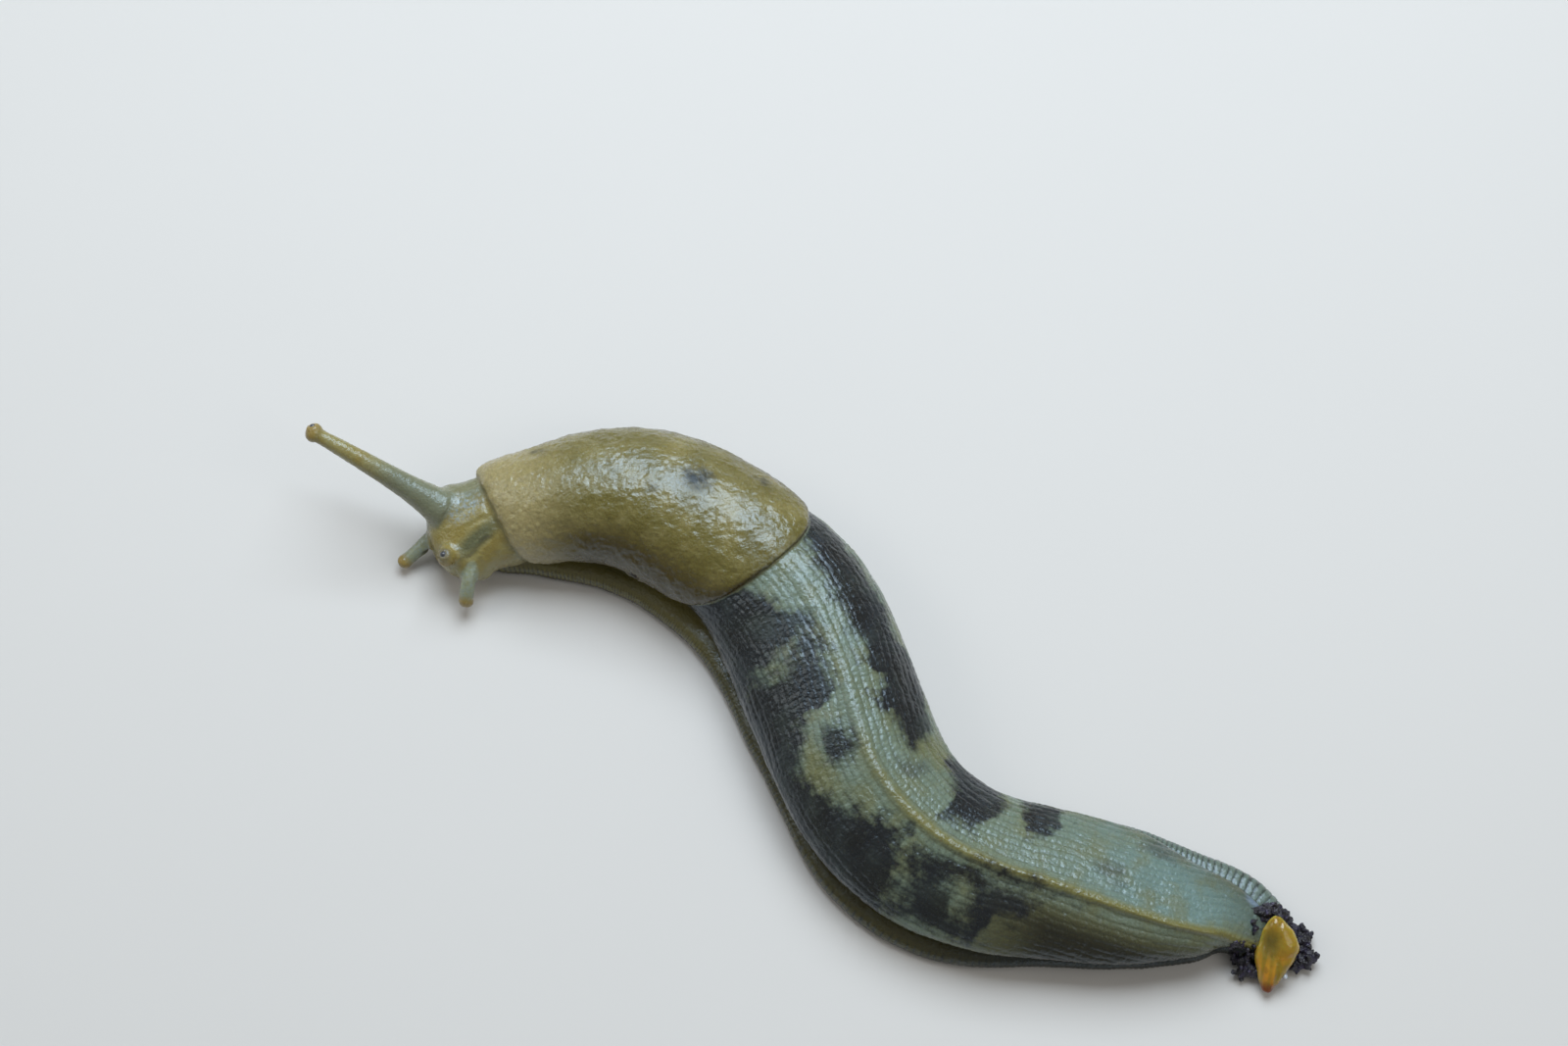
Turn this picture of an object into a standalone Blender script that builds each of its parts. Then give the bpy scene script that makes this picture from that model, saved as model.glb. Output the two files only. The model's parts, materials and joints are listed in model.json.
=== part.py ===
"""A spotted banana slug at life size, still, in one crawling pose.

The slug lies on the floor in an S: its head is at -X, its tail at +X, and +Y is its right side.
Every place on it is given along the back from the face (along), across to its right (side) and
above the floor (height), all in millimetres, and is turned into metres when a mesh is made.
"""

import math
import random

import bmesh
import bpy
from mathutils import Matrix, Vector

MM = 0.001
GAP = 0.3

# The line of the crawl, drawn on the floor from the face to the tail
FACE_PLACE = (-40.6, -4.7)
FACE_HEADING = 23.0
BENDS = (
    (3.0, 55.0, -89.0),
    (65.5, 92.0, 58.5),
    (110.0, 121.0, -60.0),
)
LINE_STEP = 0.5
LINE_LENGTH = 126.0

# The back, as sections across it: half width, height, how far the section lies to the right, how far
# its crest leans right, and how keeled it is
BACK_SECTIONS = (
    (0.0, 4.6, 6.3, 0.0, 0.8, 0.0),
    (4.0, 5.2, 7.9, 0.0, 1.3, 0.0),
    (8.0, 5.5, 9.0, -0.2, 1.0, 0.0),
    (14.0, 5.7, 10.2, -0.5, 0.2, 0.0),
    (24.0, 6.8, 11.2, -0.2, -0.3, 0.0),
    (34.0, 7.8, 11.6, -0.7, 0.2, 0.1),
    (43.0, 9.2, 12.3, 0.2, 1.0, 0.2),
    (50.0, 9.8, 12.6, 0.3, 1.6, 0.35),
    (58.0, 9.8, 12.6, -0.1, 1.7, 0.45),
    (68.0, 9.6, 12.2, -0.3, 0.5, 0.6),
    (80.0, 9.4, 11.2, 0.0, 0.0, 0.9),
    (92.0, 8.75, 9.9, 0.0, -1.3, 1.0),
    (102.0, 7.75, 8.6, 0.0, -2.9, 1.0),
    (110.0, 5.1, 7.0, -0.5, -3.1, 1.0),
    (116.0, 2.9, 5.0, -0.4, -2.4, 0.9),
    (121.0, 1.9, 3.4, -0.3, -1.0, 0.6),
)
BACK_END = 119.2
BACK_END_ROUNDING = 3.0
BACK_END_LEAST = 0.045
WIDEST_SHARE = 0.33
TUCK_ANGLE = math.radians(30.0)
LEAN_POWER = 1.5
KEEL_SHARPENING = 0.42
KEEL_RIDGE_RISE = 0.55
KEEL_RIDGE_WIDTH = 0.75
KEEL_FULL_HALF_WIDTH = 6.0

# The foot: half width of the sole with its fringe, on the left and on the right
FOOT_SECTIONS = (
    (4.0, 4.2, 4.2),
    (8.0, 5.4, 5.2),
    (14.0, 7.9, 5.9),
    (24.0, 10.2, 7.6),
    (34.0, 11.2, 8.0),
    (43.0, 10.9, 8.9),
    (50.0, 10.5, 9.6),
    (58.0, 10.4, 9.7),
    (68.0, 10.2, 9.5),
    (76.0, 10.8, 9.6),
    (84.0, 10.5, 9.5),
    (92.0, 9.0, 9.0),
    (102.0, 8.0, 8.5),
    (110.0, 6.2, 6.4),
    (116.0, 3.9, 4.9),
    (121.0, 2.9, 3.4),
)
FOOT_START = 4.3
FOOT_END = 120.8
FOOT_END_ROUNDING = 3.2
FOOT_END_LEAST = 0.1
FOOT_END_CAP = 0.02
FOOT_TOP = 2.25
FRINGE_PITCH = 2.4
FRINGE_STEPS = 4
FRINGE_DEPTH = 0.28
GROOVE_HEIGHT = FOOT_TOP + GAP

# The foot's edge from the sole up: how far inside the edge, height, share of the fringe's grooves
FOOT_EDGE = (
    (0.8, 0.0, 0.0),
    (0.15, 0.45, 0.0),
    (0.0, 1.1, 1.0),
    (0.25, 1.8, 1.0),
    (0.95, FOOT_TOP, 0.0),
)

# Where the long body is parted, in lengths along the back
HEAD_END = 6.6
NECK_END = 13.0
LENGTHS = (
    ("neck", HEAD_END, NECK_END),
    ("trunk_front", NECK_END, 32.0),
    ("trunk_middle", 32.0, 53.0),
    ("trunk_rear", 53.0, 77.0),
    ("tail_root", 77.0, 98.0),
    ("tail", 98.0, BACK_END),
)
FOOT_LENGTHS = (
    ("foot_front", FOOT_START, 32.0),
    ("foot_middle", 32.0, 53.0),
    ("foot_rear", 53.0, 77.0),
    ("foot_tail_root", 77.0, 98.0),
    ("foot_tail", 98.0, FOOT_END),
)
BACK_STEP = 1.9
TAIL_END_ANGLES = (72.0, 54.0, 36.0, 20.0, 8.0)
FLANK_STEPS = 11
CREST_STEP = 0.035
SOLE_STEPS = 6

# The head: a blunt face over two lips, with swellings of (along, side, height), reach and rise
FACE_ROUNDING = 3.4
FACE_BLUNTNESS = 2.6
FACE_LEAST = 0.12
FACE_HEIGHT = 3.9
HEAD_RINGS = 17
HEAD_TIP = 0.02
HEAD_FLOOR = 0.9
HEAD_FLOOR_RISE = (2.3, 3.9)
BELLY_FADE = (HEAD_END - 1.4, 2.6)
SWELLING_FADE = 2.0
HEAD_SWELLINGS = (
    ((3.9, -4.4, 2.8), 1.9, 0.9),
    ((3.9, 4.4, 2.8), 1.9, 0.9),
    ((0.5, -1.4, 2.1), 1.3, 0.6),
    ((0.5, 1.4, 2.1), 1.3, 0.6),
    ((0.3, 0.0, 4.8), 1.7, 0.4),
    ((1.4, -2.9, 5.6), 1.5, 0.5),
    ((2.4, 4.0, 6.2), 2.3, 1.1),
)
MOUTH_WIDTH = 0.5
MOUTH_HEIGHT = 1.5
MOUTH_DEPTH = 1.4
MOUTH_SPAN = 2.6
MOUTH_ALONG = 0.2

# Tentacles: root on the head, turn to the left from straight ahead, rise, length and radii, and how
# far an eye sits from the tip, upward and to the side
TENTACLES = {
    "upper_tentacle_right": {
        "root": (2.9, 2.9, 6.1),
        "turn": -48.0,
        "rise": 22.0,
        "length": 18.4,
        "bow": 0.5,
        "tip": 0.66,
        "taper": 0.80,
        "flare": 1.10,
        "flare_power": 6.0,
        "bulb": 1.02,
        "eye_lean": (0.95, 0.8),
    },
    "upper_tentacle_left": {
        "root": (1.6, -2.2, 6.0),
        "turn": 38.0,
        "rise": 26.0,
        "length": 2.0,
        "bow": 0.0,
        "tip": 1.0,
        "taper": 0.1,
        "flare": 0.15,
        "flare_power": 3.0,
        "bulb": 1.05,
        "eye_lean": (1.6, 0.5),
    },
    "lower_tentacle_right": {
        "root": (1.2, 1.9, 3.4),
        "turn": 14.0,
        "rise": -21.0,
        "length": 6.0,
        "bow": -0.3,
        "tip": 0.66,
        "taper": 0.10,
        "flare": 0.40,
        "flare_power": 4.0,
        "bulb": 0.80,
    },
    "lower_tentacle_left": {
        "root": (3.9, -3.2, 5.2),
        "turn": 55.7,
        "rise": -34.4,
        "length": 6.23,
        "bow": 0.5,
        "tip": 0.66,
        "taper": 0.10,
        "flare": 0.25,
        "flare_power": 4.0,
        "bulb": 0.78,
    },
}
TENTACLE_SIDES = 12
TENTACLE_STEP = 1.2
TENTACLE_LEAST_STEPS = 3
BULB_START = 1.6
BULB_ANGLES = (-20.0, 5.0, 30.0, 52.0, 70.0, 84.0)
EYE_RADIUS = 0.42
EYE_SOCKET = 0.12
EYE_SINK = 0.55
EYE_ROWS = 8

# The mantle: a thick shield over the front of the back, free at its rim
MANTLE_FRONT = 7.9
MANTLE_REAR = 43.8
MANTLE_FRONT_SKEW = 1.1
MANTLE_REAR_SKEW = 2.0
MANTLE_COVER = (
    (7.0, 0.98),
    (11.0, 0.95),
    (16.0, 0.81),
    (21.0, 0.77),
    (28.0, 0.82),
    (36.0, 0.86),
    (44.0, 0.86),
)
MANTLE_SIDE_THINNING = 0.5
MANTLE_THICKNESS = (
    (7.0, 1.3),
    (13.0, 1.55),
    (20.0, 2.15),
    (30.0, 2.15),
    (37.0, 1.6),
    (44.0, 0.95),
)
MANTLE_ROUNDS = (0.0, 0.22, 0.45, 0.65, 0.80, 0.90, 0.96, 0.99, 1.0)
MANTLE_SPOKES = 72
MANTLE_FRONT_SQUARE = 4.2
MANTLE_REAR_SQUARE = 2.3
MANTLE_RIM = 0.12
MANTLE_SLOPE_STEPS = (0.4, 0.02)
RIM_ROUNDING = 9.0
BREATHING_HOLE_ALONG = 27.6
BREATHING_HOLE_PART = 0.84
BREATHING_HOLE_RADIUS = 0.55
BREATHING_HOLE_ROWS = 8

# The plug of thick mucus at the tail's end, and the crumbs caught in the slime round it
PLUG_TOP = (54.2, -49.2, 4.3)
PLUG_TIP = (53.2, -55.7, 1.0)
PLUG_HALF_WIDTH = 2.55
PLUG_HALF_DEPTH = 1.35
PLUG_RINGS = 14
PLUG_SIDES = 16
PLUG_ENDS = 0.012
PLUG_FULLNESS = (0.82, 0.62)
PLUG_LUMP = (0.07, 9.0, 1.0)
PLUG_RIB = (0.06, 3.0, 5.0)
PLUG_FLOOR = 0.02
CRUMB_CENTRE = (53.9, -51.4)
CRUMB_REACH = (3.9, 3.5)
CRUMB_ARCS = {
    "tail_crumbs_right": (-38.0, 114.0, 24),
    "tail_crumbs_left": (176.0, 228.0, 10),
}
CRUMB_RADII = (0.6, 1.1)
CRUMB_SPREAD = (-0.6, 0.5)
CRUMB_LIFT = (1.02, 1.25)
CRUMB_CLIMB = (45.0, 75.0)
CRUMB_ROWS = 4
CRUMB_SEED = 7
TAIL_TOOLS_START = 108.0
TAIL_TOOLS_STEP = 1.0
TAIL_TOOLS_END = 0.05

MATERIALS = {
    "sage_skin": ((0.33, 0.36, 0.22), 0.32),
    "dark_flank": ((0.05, 0.05, 0.04), 0.3),
    "mantle_skin": ((0.40, 0.37, 0.14), 0.3),
    "head_skin": ((0.46, 0.42, 0.22), 0.25),
    "foot_skin": ((0.27, 0.27, 0.12), 0.4),
    "eye": ((0.02, 0.02, 0.02), 0.1),
    "amber_mucus": ((0.72, 0.42, 0.05), 0.15),
    "soil_crumbs": ((0.02, 0.017, 0.02), 0.5),
}


def smooth_step(share):
    share = min(max(share, 0.0), 1.0)
    return share * share * (3.0 - 2.0 * share)


def heading(along):
    """The way from head to tail, in radians anticlockwise from +X."""
    turn = FACE_HEADING
    for start, end, angle in BENDS:
        turn += angle * smooth_step((along - start) / (end - start))
    return math.radians(turn)


def crawl_line():
    """Points of the crawl's line on the floor, one for each LINE_STEP."""
    x, y = FACE_PLACE
    points = [(x, y)]
    for index in range(int(LINE_LENGTH / LINE_STEP)):
        angle = heading((index + 0.5) * LINE_STEP)
        x += math.cos(angle) * LINE_STEP
        y += math.sin(angle) * LINE_STEP
        points.append((x, y))
    return points


LINE = crawl_line()


def line_point(along):
    if along < 0.0:
        angle = heading(0.0)
        return LINE[0][0] + math.cos(angle) * along, LINE[0][1] + math.sin(angle) * along
    index = min(int(along / LINE_STEP), len(LINE) - 2)
    share = along / LINE_STEP - index
    (x0, y0), (x1, y1) = LINE[index], LINE[index + 1]
    return x0 + (x1 - x0) * share, y0 + (y1 - y0) * share


def place(along, side, height):
    """A point of the slug's own measures, as a place in the world, in millimetres."""
    x, y = line_point(along)
    angle = heading(along)
    return Vector((x - math.sin(angle) * side, y + math.cos(angle) * side, height))


def read_table(table, along):
    """A row of sizes at this place along the back, smooth through the table's rows."""
    last = len(table) - 1
    along = min(max(along, table[0][0]), table[last][0])
    index = max(i for i in range(last) if table[i][0] <= along)
    low, high = table[index], table[index + 1]
    before = table[max(index - 1, 0)]
    after = table[min(index + 2, last)]
    span = high[0] - low[0]
    share = (along - low[0]) / span
    row = []
    for column in range(1, len(low)):
        slope_low = (high[column] - before[column]) / (high[0] - before[0])
        slope_high = (after[column] - low[column]) / (after[0] - low[0])
        rise = high[column] - low[column]
        bend_low = slope_low * span - rise
        bend_high = rise - slope_high * span
        ease = bend_low * (1.0 - share) + bend_high * share
        row.append(low[column] + rise * share + share * (1.0 - share) * ease)
    return row


def rounded_end(left_over, rounding, least):
    """The share of its size that a section keeps this close to a rounded end."""
    share = min(max(left_over, 0.0) / rounding, 1.0)
    return max(math.sqrt(1.0 - (1.0 - share) ** 2), least)


def back_point(along, across, grow=0.0):
    """The skin of the back: across is -1 at the left groove, 0 on the crest, 1 at the right groove."""
    half_width, height, shift, lean, keel = read_table(BACK_SECTIONS, along)
    shrink = rounded_end(BACK_END - along, BACK_END_ROUNDING, BACK_END_LEAST)
    half_width = half_width * shrink + grow
    height = GROOVE_HEIGHT + (height - GROOVE_HEIGHT) * shrink + grow
    widest = GROOVE_HEIGHT + WIDEST_SHARE * (height - GROOVE_HEIGHT)
    angle = -TUCK_ANGLE + (1.0 - abs(across)) * (math.pi / 2.0 + TUCK_ANGLE)
    power = 1.0 + KEEL_SHARPENING * keel
    if angle < 0.0:
        side = half_width * math.cos(angle)
        level = widest + (widest - GROOVE_HEIGHT) * math.sin(angle) / math.sin(TUCK_ANGLE)
    else:
        side = half_width * max(math.cos(angle), 0.0) ** power
        level = widest + (height - widest) * math.sin(angle) ** power
    ridge = KEEL_RIDGE_RISE * keel * min(half_width / KEEL_FULL_HALF_WIDTH, 1.0)
    level += ridge * math.exp(-((side / KEEL_RIDGE_WIDTH) ** 2))
    rise = max((level - GROOVE_HEIGHT) / (height - GROOVE_HEIGHT), 0.0)
    side = math.copysign(side, across) + shift + lean * shrink * rise ** LEAN_POWER
    return place(along, side, level - (grow if abs(across) == 1.0 else 0.0))


def across_steps():
    """Steps from the left groove over the crest to the right one, closer near the crest."""
    half = [1.0 - i / FLANK_STEPS for i in range(FLANK_STEPS)] + [CREST_STEP]
    return [-step for step in half] + [0.0] + half[::-1]


ACROSS = across_steps()


def back_ring(along, grow=0.0):
    """One closed section: over the back, then home across the flat underside."""
    ring = [back_point(along, across, grow) for across in ACROSS]
    right, left = ring[-1], ring[0]
    for step in range(1, SOLE_STEPS):
        ring.append(right.lerp(left, step / SOLE_STEPS))
    return ring


def foot_ring(along, grow=0.0):
    """One closed section of the foot: the sole, the fringe's grooved edge and the flat top."""
    widths = read_table(FOOT_SECTIONS, along)
    rounding = rounded_end(along - FOOT_START, FOOT_END_ROUNDING, FOOT_END_LEAST)
    rounding *= rounded_end(FOOT_END - along, FOOT_END_ROUNDING, FOOT_END_LEAST)
    groove = FRINGE_DEPTH * math.cos(2.0 * math.pi * along / FRINGE_PITCH)
    ring = []
    for sign, width in zip((-1.0, 1.0), widths):
        edge = []
        for inset, height, groove_share in FOOT_EDGE:
            side = (width - inset + groove * groove_share) * rounding + grow
            if height in (0.0, FOOT_TOP):
                height += math.copysign(grow, height - GAP)
            edge.append(place(along, sign * side, height))
        ring.extend(edge if sign < 0.0 else edge[::-1])
    return ring


def mesh_object(name, points, faces, material):
    """A named object from points in millimetres."""
    mesh = bpy.data.meshes.new(name)
    mesh.from_pydata([tuple(point * MM) for point in points], [], faces)
    shape = bmesh.new()
    shape.from_mesh(mesh)
    bmesh.ops.recalc_face_normals(shape, faces=shape.faces)
    shape.to_mesh(mesh)
    shape.free()
    mesh.shade_smooth()
    mesh.materials.append(material)
    piece = bpy.data.objects.new(name, mesh)
    bpy.context.scene.collection.objects.link(piece)
    return piece


def loft(name, rings, material):
    """A closed body through rings of equal counts, with flat ends."""
    count = len(rings[0])
    points = [point for ring in rings for point in ring]
    faces = []
    for row in range(len(rings) - 1):
        for i in range(count):
            j = (i + 1) % count
            base, top = row * count, (row + 1) * count
            faces.append((base + i, base + j, top + j, top + i))
    faces.append(tuple(range(count)))
    faces.append(tuple(range(len(points) - count, len(points))))
    return mesh_object(name, points, faces, material)


def steps_between(start, end, step):
    count = max(int(math.ceil((end - start) / step)), 1)
    return [start + (end - start) * i / count for i in range(count + 1)]


def drop_object(piece):
    mesh = piece.data
    bpy.data.objects.remove(piece)
    bpy.data.meshes.remove(mesh)


def keep_largest_body(piece):
    """Leaves only the closed surface with the most faces."""
    shape = bmesh.new()
    shape.from_mesh(piece.data)
    unseen = set(shape.verts)
    bodies = []
    while unseen:
        body = set()
        front = [unseen.pop()]
        while front:
            vert = front.pop()
            body.add(vert)
            for edge in vert.link_edges:
                other = edge.other_vert(vert)
                if other in unseen:
                    unseen.remove(other)
                    front.append(other)
        bodies.append(body)
    bodies.sort(key=len)
    for body in bodies[:-1]:
        bmesh.ops.delete(shape, geom=list(body), context="VERTS")
    shape.to_mesh(piece.data)
    shape.free()


def combine(piece, tools, operation):
    """Joins tools to a piece, or cuts them from it, and removes them."""
    group = bpy.data.collections.new("tools")
    bpy.context.scene.collection.children.link(group)
    for tool in tools:
        group.objects.link(tool)
    modifier = piece.modifiers.new("combine", "BOOLEAN")
    modifier.operation = operation
    modifier.operand_type = "COLLECTION"
    modifier.collection = group
    modifier.solver = "EXACT"
    graph = bpy.context.evaluated_depsgraph_get()
    result = bpy.data.meshes.new_from_object(piece.evaluated_get(graph))
    piece.modifiers.clear()
    old = piece.data
    piece.data = result
    bpy.data.meshes.remove(old)
    result.name = piece.name
    for tool in tools:
        drop_object(tool)
    bpy.data.collections.remove(group)
    keep_largest_body(piece)


def head_floor(along):
    """How low the head may reach: close to the floor in front, clear of the foot behind."""
    start, end = HEAD_FLOOR_RISE
    return HEAD_FLOOR + (GROOVE_HEIGHT - HEAD_FLOOR) * smooth_step((along - start) / (end - start))


def head_ring(along):
    """The back's section, rounded under the face and drawn in to the blunt front."""
    ring = back_ring(max(along, 0.0))
    fade_start, fade_length = BELLY_FADE
    under = smooth_step((fade_start - along) / fade_length)
    front = min(along / FACE_ROUNDING, 1.0)
    shrink = max(1.0 - (1.0 - front) ** FACE_BLUNTNESS, 0.0) ** (1.0 / FACE_BLUNTNESS)
    shrink = max(shrink, FACE_LEAST)
    centre = place(along, 0.0, FACE_HEIGHT)
    floor = head_floor(along)
    flank = len(ACROSS)
    drawn_in = []
    for index, point in enumerate(ring):
        if index >= flank:
            belly = math.sin(math.pi * (index - flank + 1) / SOLE_STEPS)
            point = point - Vector((0.0, 0.0, under * belly * (GROOVE_HEIGHT - floor)))
        drawn_in.append(centre + (point - centre) * shrink)
    return [swell_head(point, centre, along) for point in drawn_in]


def swell_head(point, centre, along):
    """Pushes the skin outward over each swelling, and keeps it clear of the foot."""
    outward = (point - centre).normalized()
    rise = 0.0
    for spot, reach, height in HEAD_SWELLINGS:
        apart = (point - place(*spot)).length
        rise += height * math.exp(-((apart / reach) ** 2))
    rise *= smooth_step((HEAD_END - along) / SWELLING_FADE)
    point = point + outward * rise
    point.z = max(point.z, head_floor(along))
    return point


def tentacle_shape(sizes):
    """The path of a tentacle and the radius at each step along it."""
    root = place(*sizes["root"])
    ahead = heading(sizes["root"][0]) + math.pi + math.radians(sizes["turn"])
    rise = math.radians(sizes["rise"])
    way = Vector((math.cos(ahead) * math.cos(rise), math.sin(ahead) * math.cos(rise), math.sin(rise)))
    side_way = way.cross(Vector((0.0, 0.0, 1.0))).normalized()
    up_way = side_way.cross(way).normalized()
    length = sizes["length"]
    bulb = sizes["bulb"]
    shaft = length - bulb * BULB_START
    steps = max(int(length / TENTACLE_STEP), TENTACLE_LEAST_STEPS)
    reaches = [shaft * i / steps for i in range(steps + 1)]
    bulb_start = len(reaches)
    reaches += [length - bulb + bulb * math.sin(math.radians(angle)) for angle in BULB_ANGLES]
    path = []
    for index, reach in enumerate(reaches):
        left = 1.0 - reach / length
        radius = sizes["tip"] + sizes["taper"] * left + sizes["flare"] * left ** sizes["flare_power"]
        if index >= bulb_start:
            radius = bulb * math.cos(math.radians(BULB_ANGLES[index - bulb_start]))
        bow = sizes["bow"] * 4.0 * left * (1.0 - left)
        path.append((root + way * reach + up_way * bow, radius))
    return path, way, side_way, up_way


def tentacle_body(name, sizes, material, grow=0.0):
    """The tentacle as a closed tube with a round tip. grow makes the larger body that cuts its seat."""
    path, way, side_way, up_way = tentacle_shape(sizes)
    first = path[0][0]
    rings = []
    if grow:
        path = [(first - way * grow, path[0][1])] + path
    for centre, radius in path:
        ring = []
        for i in range(TENTACLE_SIDES):
            turn = 2.0 * math.pi * i / TENTACLE_SIDES
            offset = side_way * math.cos(turn) + up_way * math.sin(turn)
            ring.append(centre + offset * (radius + grow))
        rings.append(ring)
    return loft(name, rings, material)


def ball(name, centre, radius, material, rows):
    """A closed ball of flat faces."""
    mesh = bpy.data.meshes.new(name)
    shape = bmesh.new()
    bmesh.ops.create_uvsphere(shape, u_segments=rows + 4, v_segments=rows, radius=radius * MM)
    bmesh.ops.translate(shape, verts=shape.verts, vec=centre * MM)
    shape.to_mesh(mesh)
    shape.free()
    mesh.shade_smooth()
    mesh.materials.append(material)
    piece = bpy.data.objects.new(name, mesh)
    bpy.context.scene.collection.objects.link(piece)
    return piece


def slab(name, centre, size, turn, material):
    """A box turned about +Z, for cutting the mouth."""
    mesh = bpy.data.meshes.new(name)
    shape = bmesh.new()
    bmesh.ops.create_cube(shape, size=1.0)
    bmesh.ops.scale(shape, verts=shape.verts, vec=Vector(size) * MM)
    bmesh.ops.rotate(shape, verts=shape.verts, cent=(0.0, 0.0, 0.0), matrix=Matrix.Rotation(turn, 3, "Z"))
    bmesh.ops.translate(shape, verts=shape.verts, vec=centre * MM)
    shape.to_mesh(mesh)
    shape.free()
    mesh.materials.append(material)
    piece = bpy.data.objects.new(name, mesh)
    bpy.context.scene.collection.objects.link(piece)
    return piece


def build_head(material):
    reaches = [HEAD_END - GAP / 2.0]
    for i in range(1, HEAD_RINGS + 1):
        share = i / HEAD_RINGS
        reaches.append((HEAD_END - GAP / 2.0) * (1.0 - math.sin(share * math.pi / 2.0)) + HEAD_TIP)
    head = loft("head", [head_ring(along) for along in reaches], material)
    turn = heading(0.0)
    seats = [tentacle_body("seat", sizes, material, GAP) for sizes in TENTACLES.values()]
    down = place(MOUTH_ALONG, 0.0, HEAD_FLOOR + MOUTH_HEIGHT / 2.0)
    lips = place(MOUTH_ALONG, 0.0, HEAD_FLOOR + MOUTH_HEIGHT)
    seats.append(slab("mouth", down, (MOUTH_DEPTH, MOUTH_WIDTH, MOUTH_HEIGHT), turn, material))
    seats.append(slab("mouth", lips, (MOUTH_DEPTH, MOUTH_SPAN, MOUTH_WIDTH), turn, material))
    combine(head, seats, "DIFFERENCE")


def build_tentacles(material, eye_material):
    for name, sizes in TENTACLES.items():
        body = tentacle_body(name, sizes, material)
        if not name.startswith("upper"):
            continue
        path, way, side_way, up_way = tentacle_shape(sizes)
        tip = path[-1][0]
        lift, lean = sizes["eye_lean"]
        eye_way = (way + up_way * lift + side_way * lean).normalized()
        centre = tip - way * sizes["bulb"] + eye_way * (sizes["bulb"] - EYE_SINK * EYE_RADIUS)
        socket = ball("socket", centre, EYE_RADIUS + EYE_SOCKET, material, EYE_ROWS)
        combine(body, [socket], "DIFFERENCE")
        ball(name.replace("upper_tentacle", "eye"), centre, EYE_RADIUS, eye_material, EYE_ROWS)


def build_back(materials):
    for name, start, end in LENGTHS:
        start += GAP / 2.0
        if end < BACK_END:
            reaches = steps_between(start, end - GAP / 2.0, BACK_STEP)
        else:
            reaches = steps_between(start, BACK_END - BACK_END_ROUNDING, BACK_STEP)
            for angle in TAIL_END_ANGLES:
                reaches.append(BACK_END - BACK_END_ROUNDING * (1.0 - math.cos(math.radians(angle))))
        loft(name, [back_ring(along) for along in reaches], materials[name])


def build_foot(material):
    for name, start, end in FOOT_LENGTHS:
        start += GAP / 2.0 if start > FOOT_START else FOOT_END_CAP
        end -= GAP / 2.0 if end < FOOT_END else FOOT_END_CAP
        reaches = steps_between(start, end, FRINGE_PITCH / FRINGE_STEPS)
        loft(name, [foot_ring(along) for along in reaches], material)


def mantle_outline(spoke):
    """How far the rim is from the shield's middle, as shares of its length and its cover."""
    square = MANTLE_FRONT_SQUARE if math.cos(spoke) < 0.0 else MANTLE_REAR_SQUARE
    lengthwise = math.copysign(abs(math.cos(spoke)) ** (2.0 / square), math.cos(spoke))
    across = math.copysign(abs(math.sin(spoke)) ** (2.0 / square), math.sin(spoke))
    return lengthwise, across


def mantle_point(part, spoke, outer):
    """A point of the shield: part is 0 at its middle and 1 at its rim."""
    lengthwise, across = mantle_outline(spoke)
    middle = (MANTLE_FRONT + MANTLE_REAR) / 2.0
    half_length = (MANTLE_REAR - MANTLE_FRONT) / 2.0
    along = middle + half_length * lengthwise * part
    skew = MANTLE_FRONT_SKEW if lengthwise < 0.0 else MANTLE_REAR_SKEW
    along -= skew * across * part * abs(lengthwise)
    (cover,) = read_table(MANTLE_COVER, along)
    across *= cover * part
    skin = back_point(along, across)
    step_on, step_over = MANTLE_SLOPE_STEPS
    ahead = back_point(along + step_on, across) - back_point(along - step_on, across)
    right, left = min(across + step_over, 1.0), max(across - step_over, -1.0)
    over = back_point(along, right) - back_point(along, left)
    outward = ahead.cross(over).normalized()
    if outward.dot(skin - place(along, 0.0, GROOVE_HEIGHT)) < 0.0:
        outward.negate()
    (thickness,) = read_table(MANTLE_THICKNESS, along)
    thickness *= 1.0 - MANTLE_SIDE_THINNING * across * across
    rise = GAP
    if outer:
        rise += MANTLE_RIM + thickness * math.sqrt(max(1.0 - part ** RIM_ROUNDING, 0.0))
    return skin + outward * rise


def build_mantle(material):
    points = []
    faces = []
    spokes = [2.0 * math.pi * i / MANTLE_SPOKES for i in range(MANTLE_SPOKES)]
    rows = []
    for outer in (True, False):
        for part in MANTLE_ROUNDS[1:]:
            rows.append(list(range(len(points), len(points) + MANTLE_SPOKES)))
            points.extend(mantle_point(part, spoke, outer) for spoke in spokes)
    rounds = len(MANTLE_ROUNDS) - 1
    top, under = rows[:rounds], rows[rounds:]
    ordered = top + under[::-1]
    for row in range(len(ordered) - 1):
        for i in range(MANTLE_SPOKES):
            j = (i + 1) % MANTLE_SPOKES
            faces.append((ordered[row][i], ordered[row][j], ordered[row + 1][j], ordered[row + 1][i]))
    for row, outer in ((ordered[0], True), (ordered[-1], False)):
        pole = len(points)
        points.append(mantle_point(0.0, 0.0, outer))
        for i in range(MANTLE_SPOKES):
            faces.append((row[i], row[(i + 1) % MANTLE_SPOKES], pole))
    mantle = mesh_object("mantle", points, faces, material)
    lengthwise = (2.0 * BREATHING_HOLE_ALONG - MANTLE_FRONT - MANTLE_REAR) / (MANTLE_REAR - MANTLE_FRONT)
    place_on_rim = mantle_point(BREATHING_HOLE_PART, -math.acos(lengthwise), True)
    hole = ball("hole", place_on_rim, BREATHING_HOLE_RADIUS, material, BREATHING_HOLE_ROWS)
    combine(mantle, [hole], "DIFFERENCE")


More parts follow.
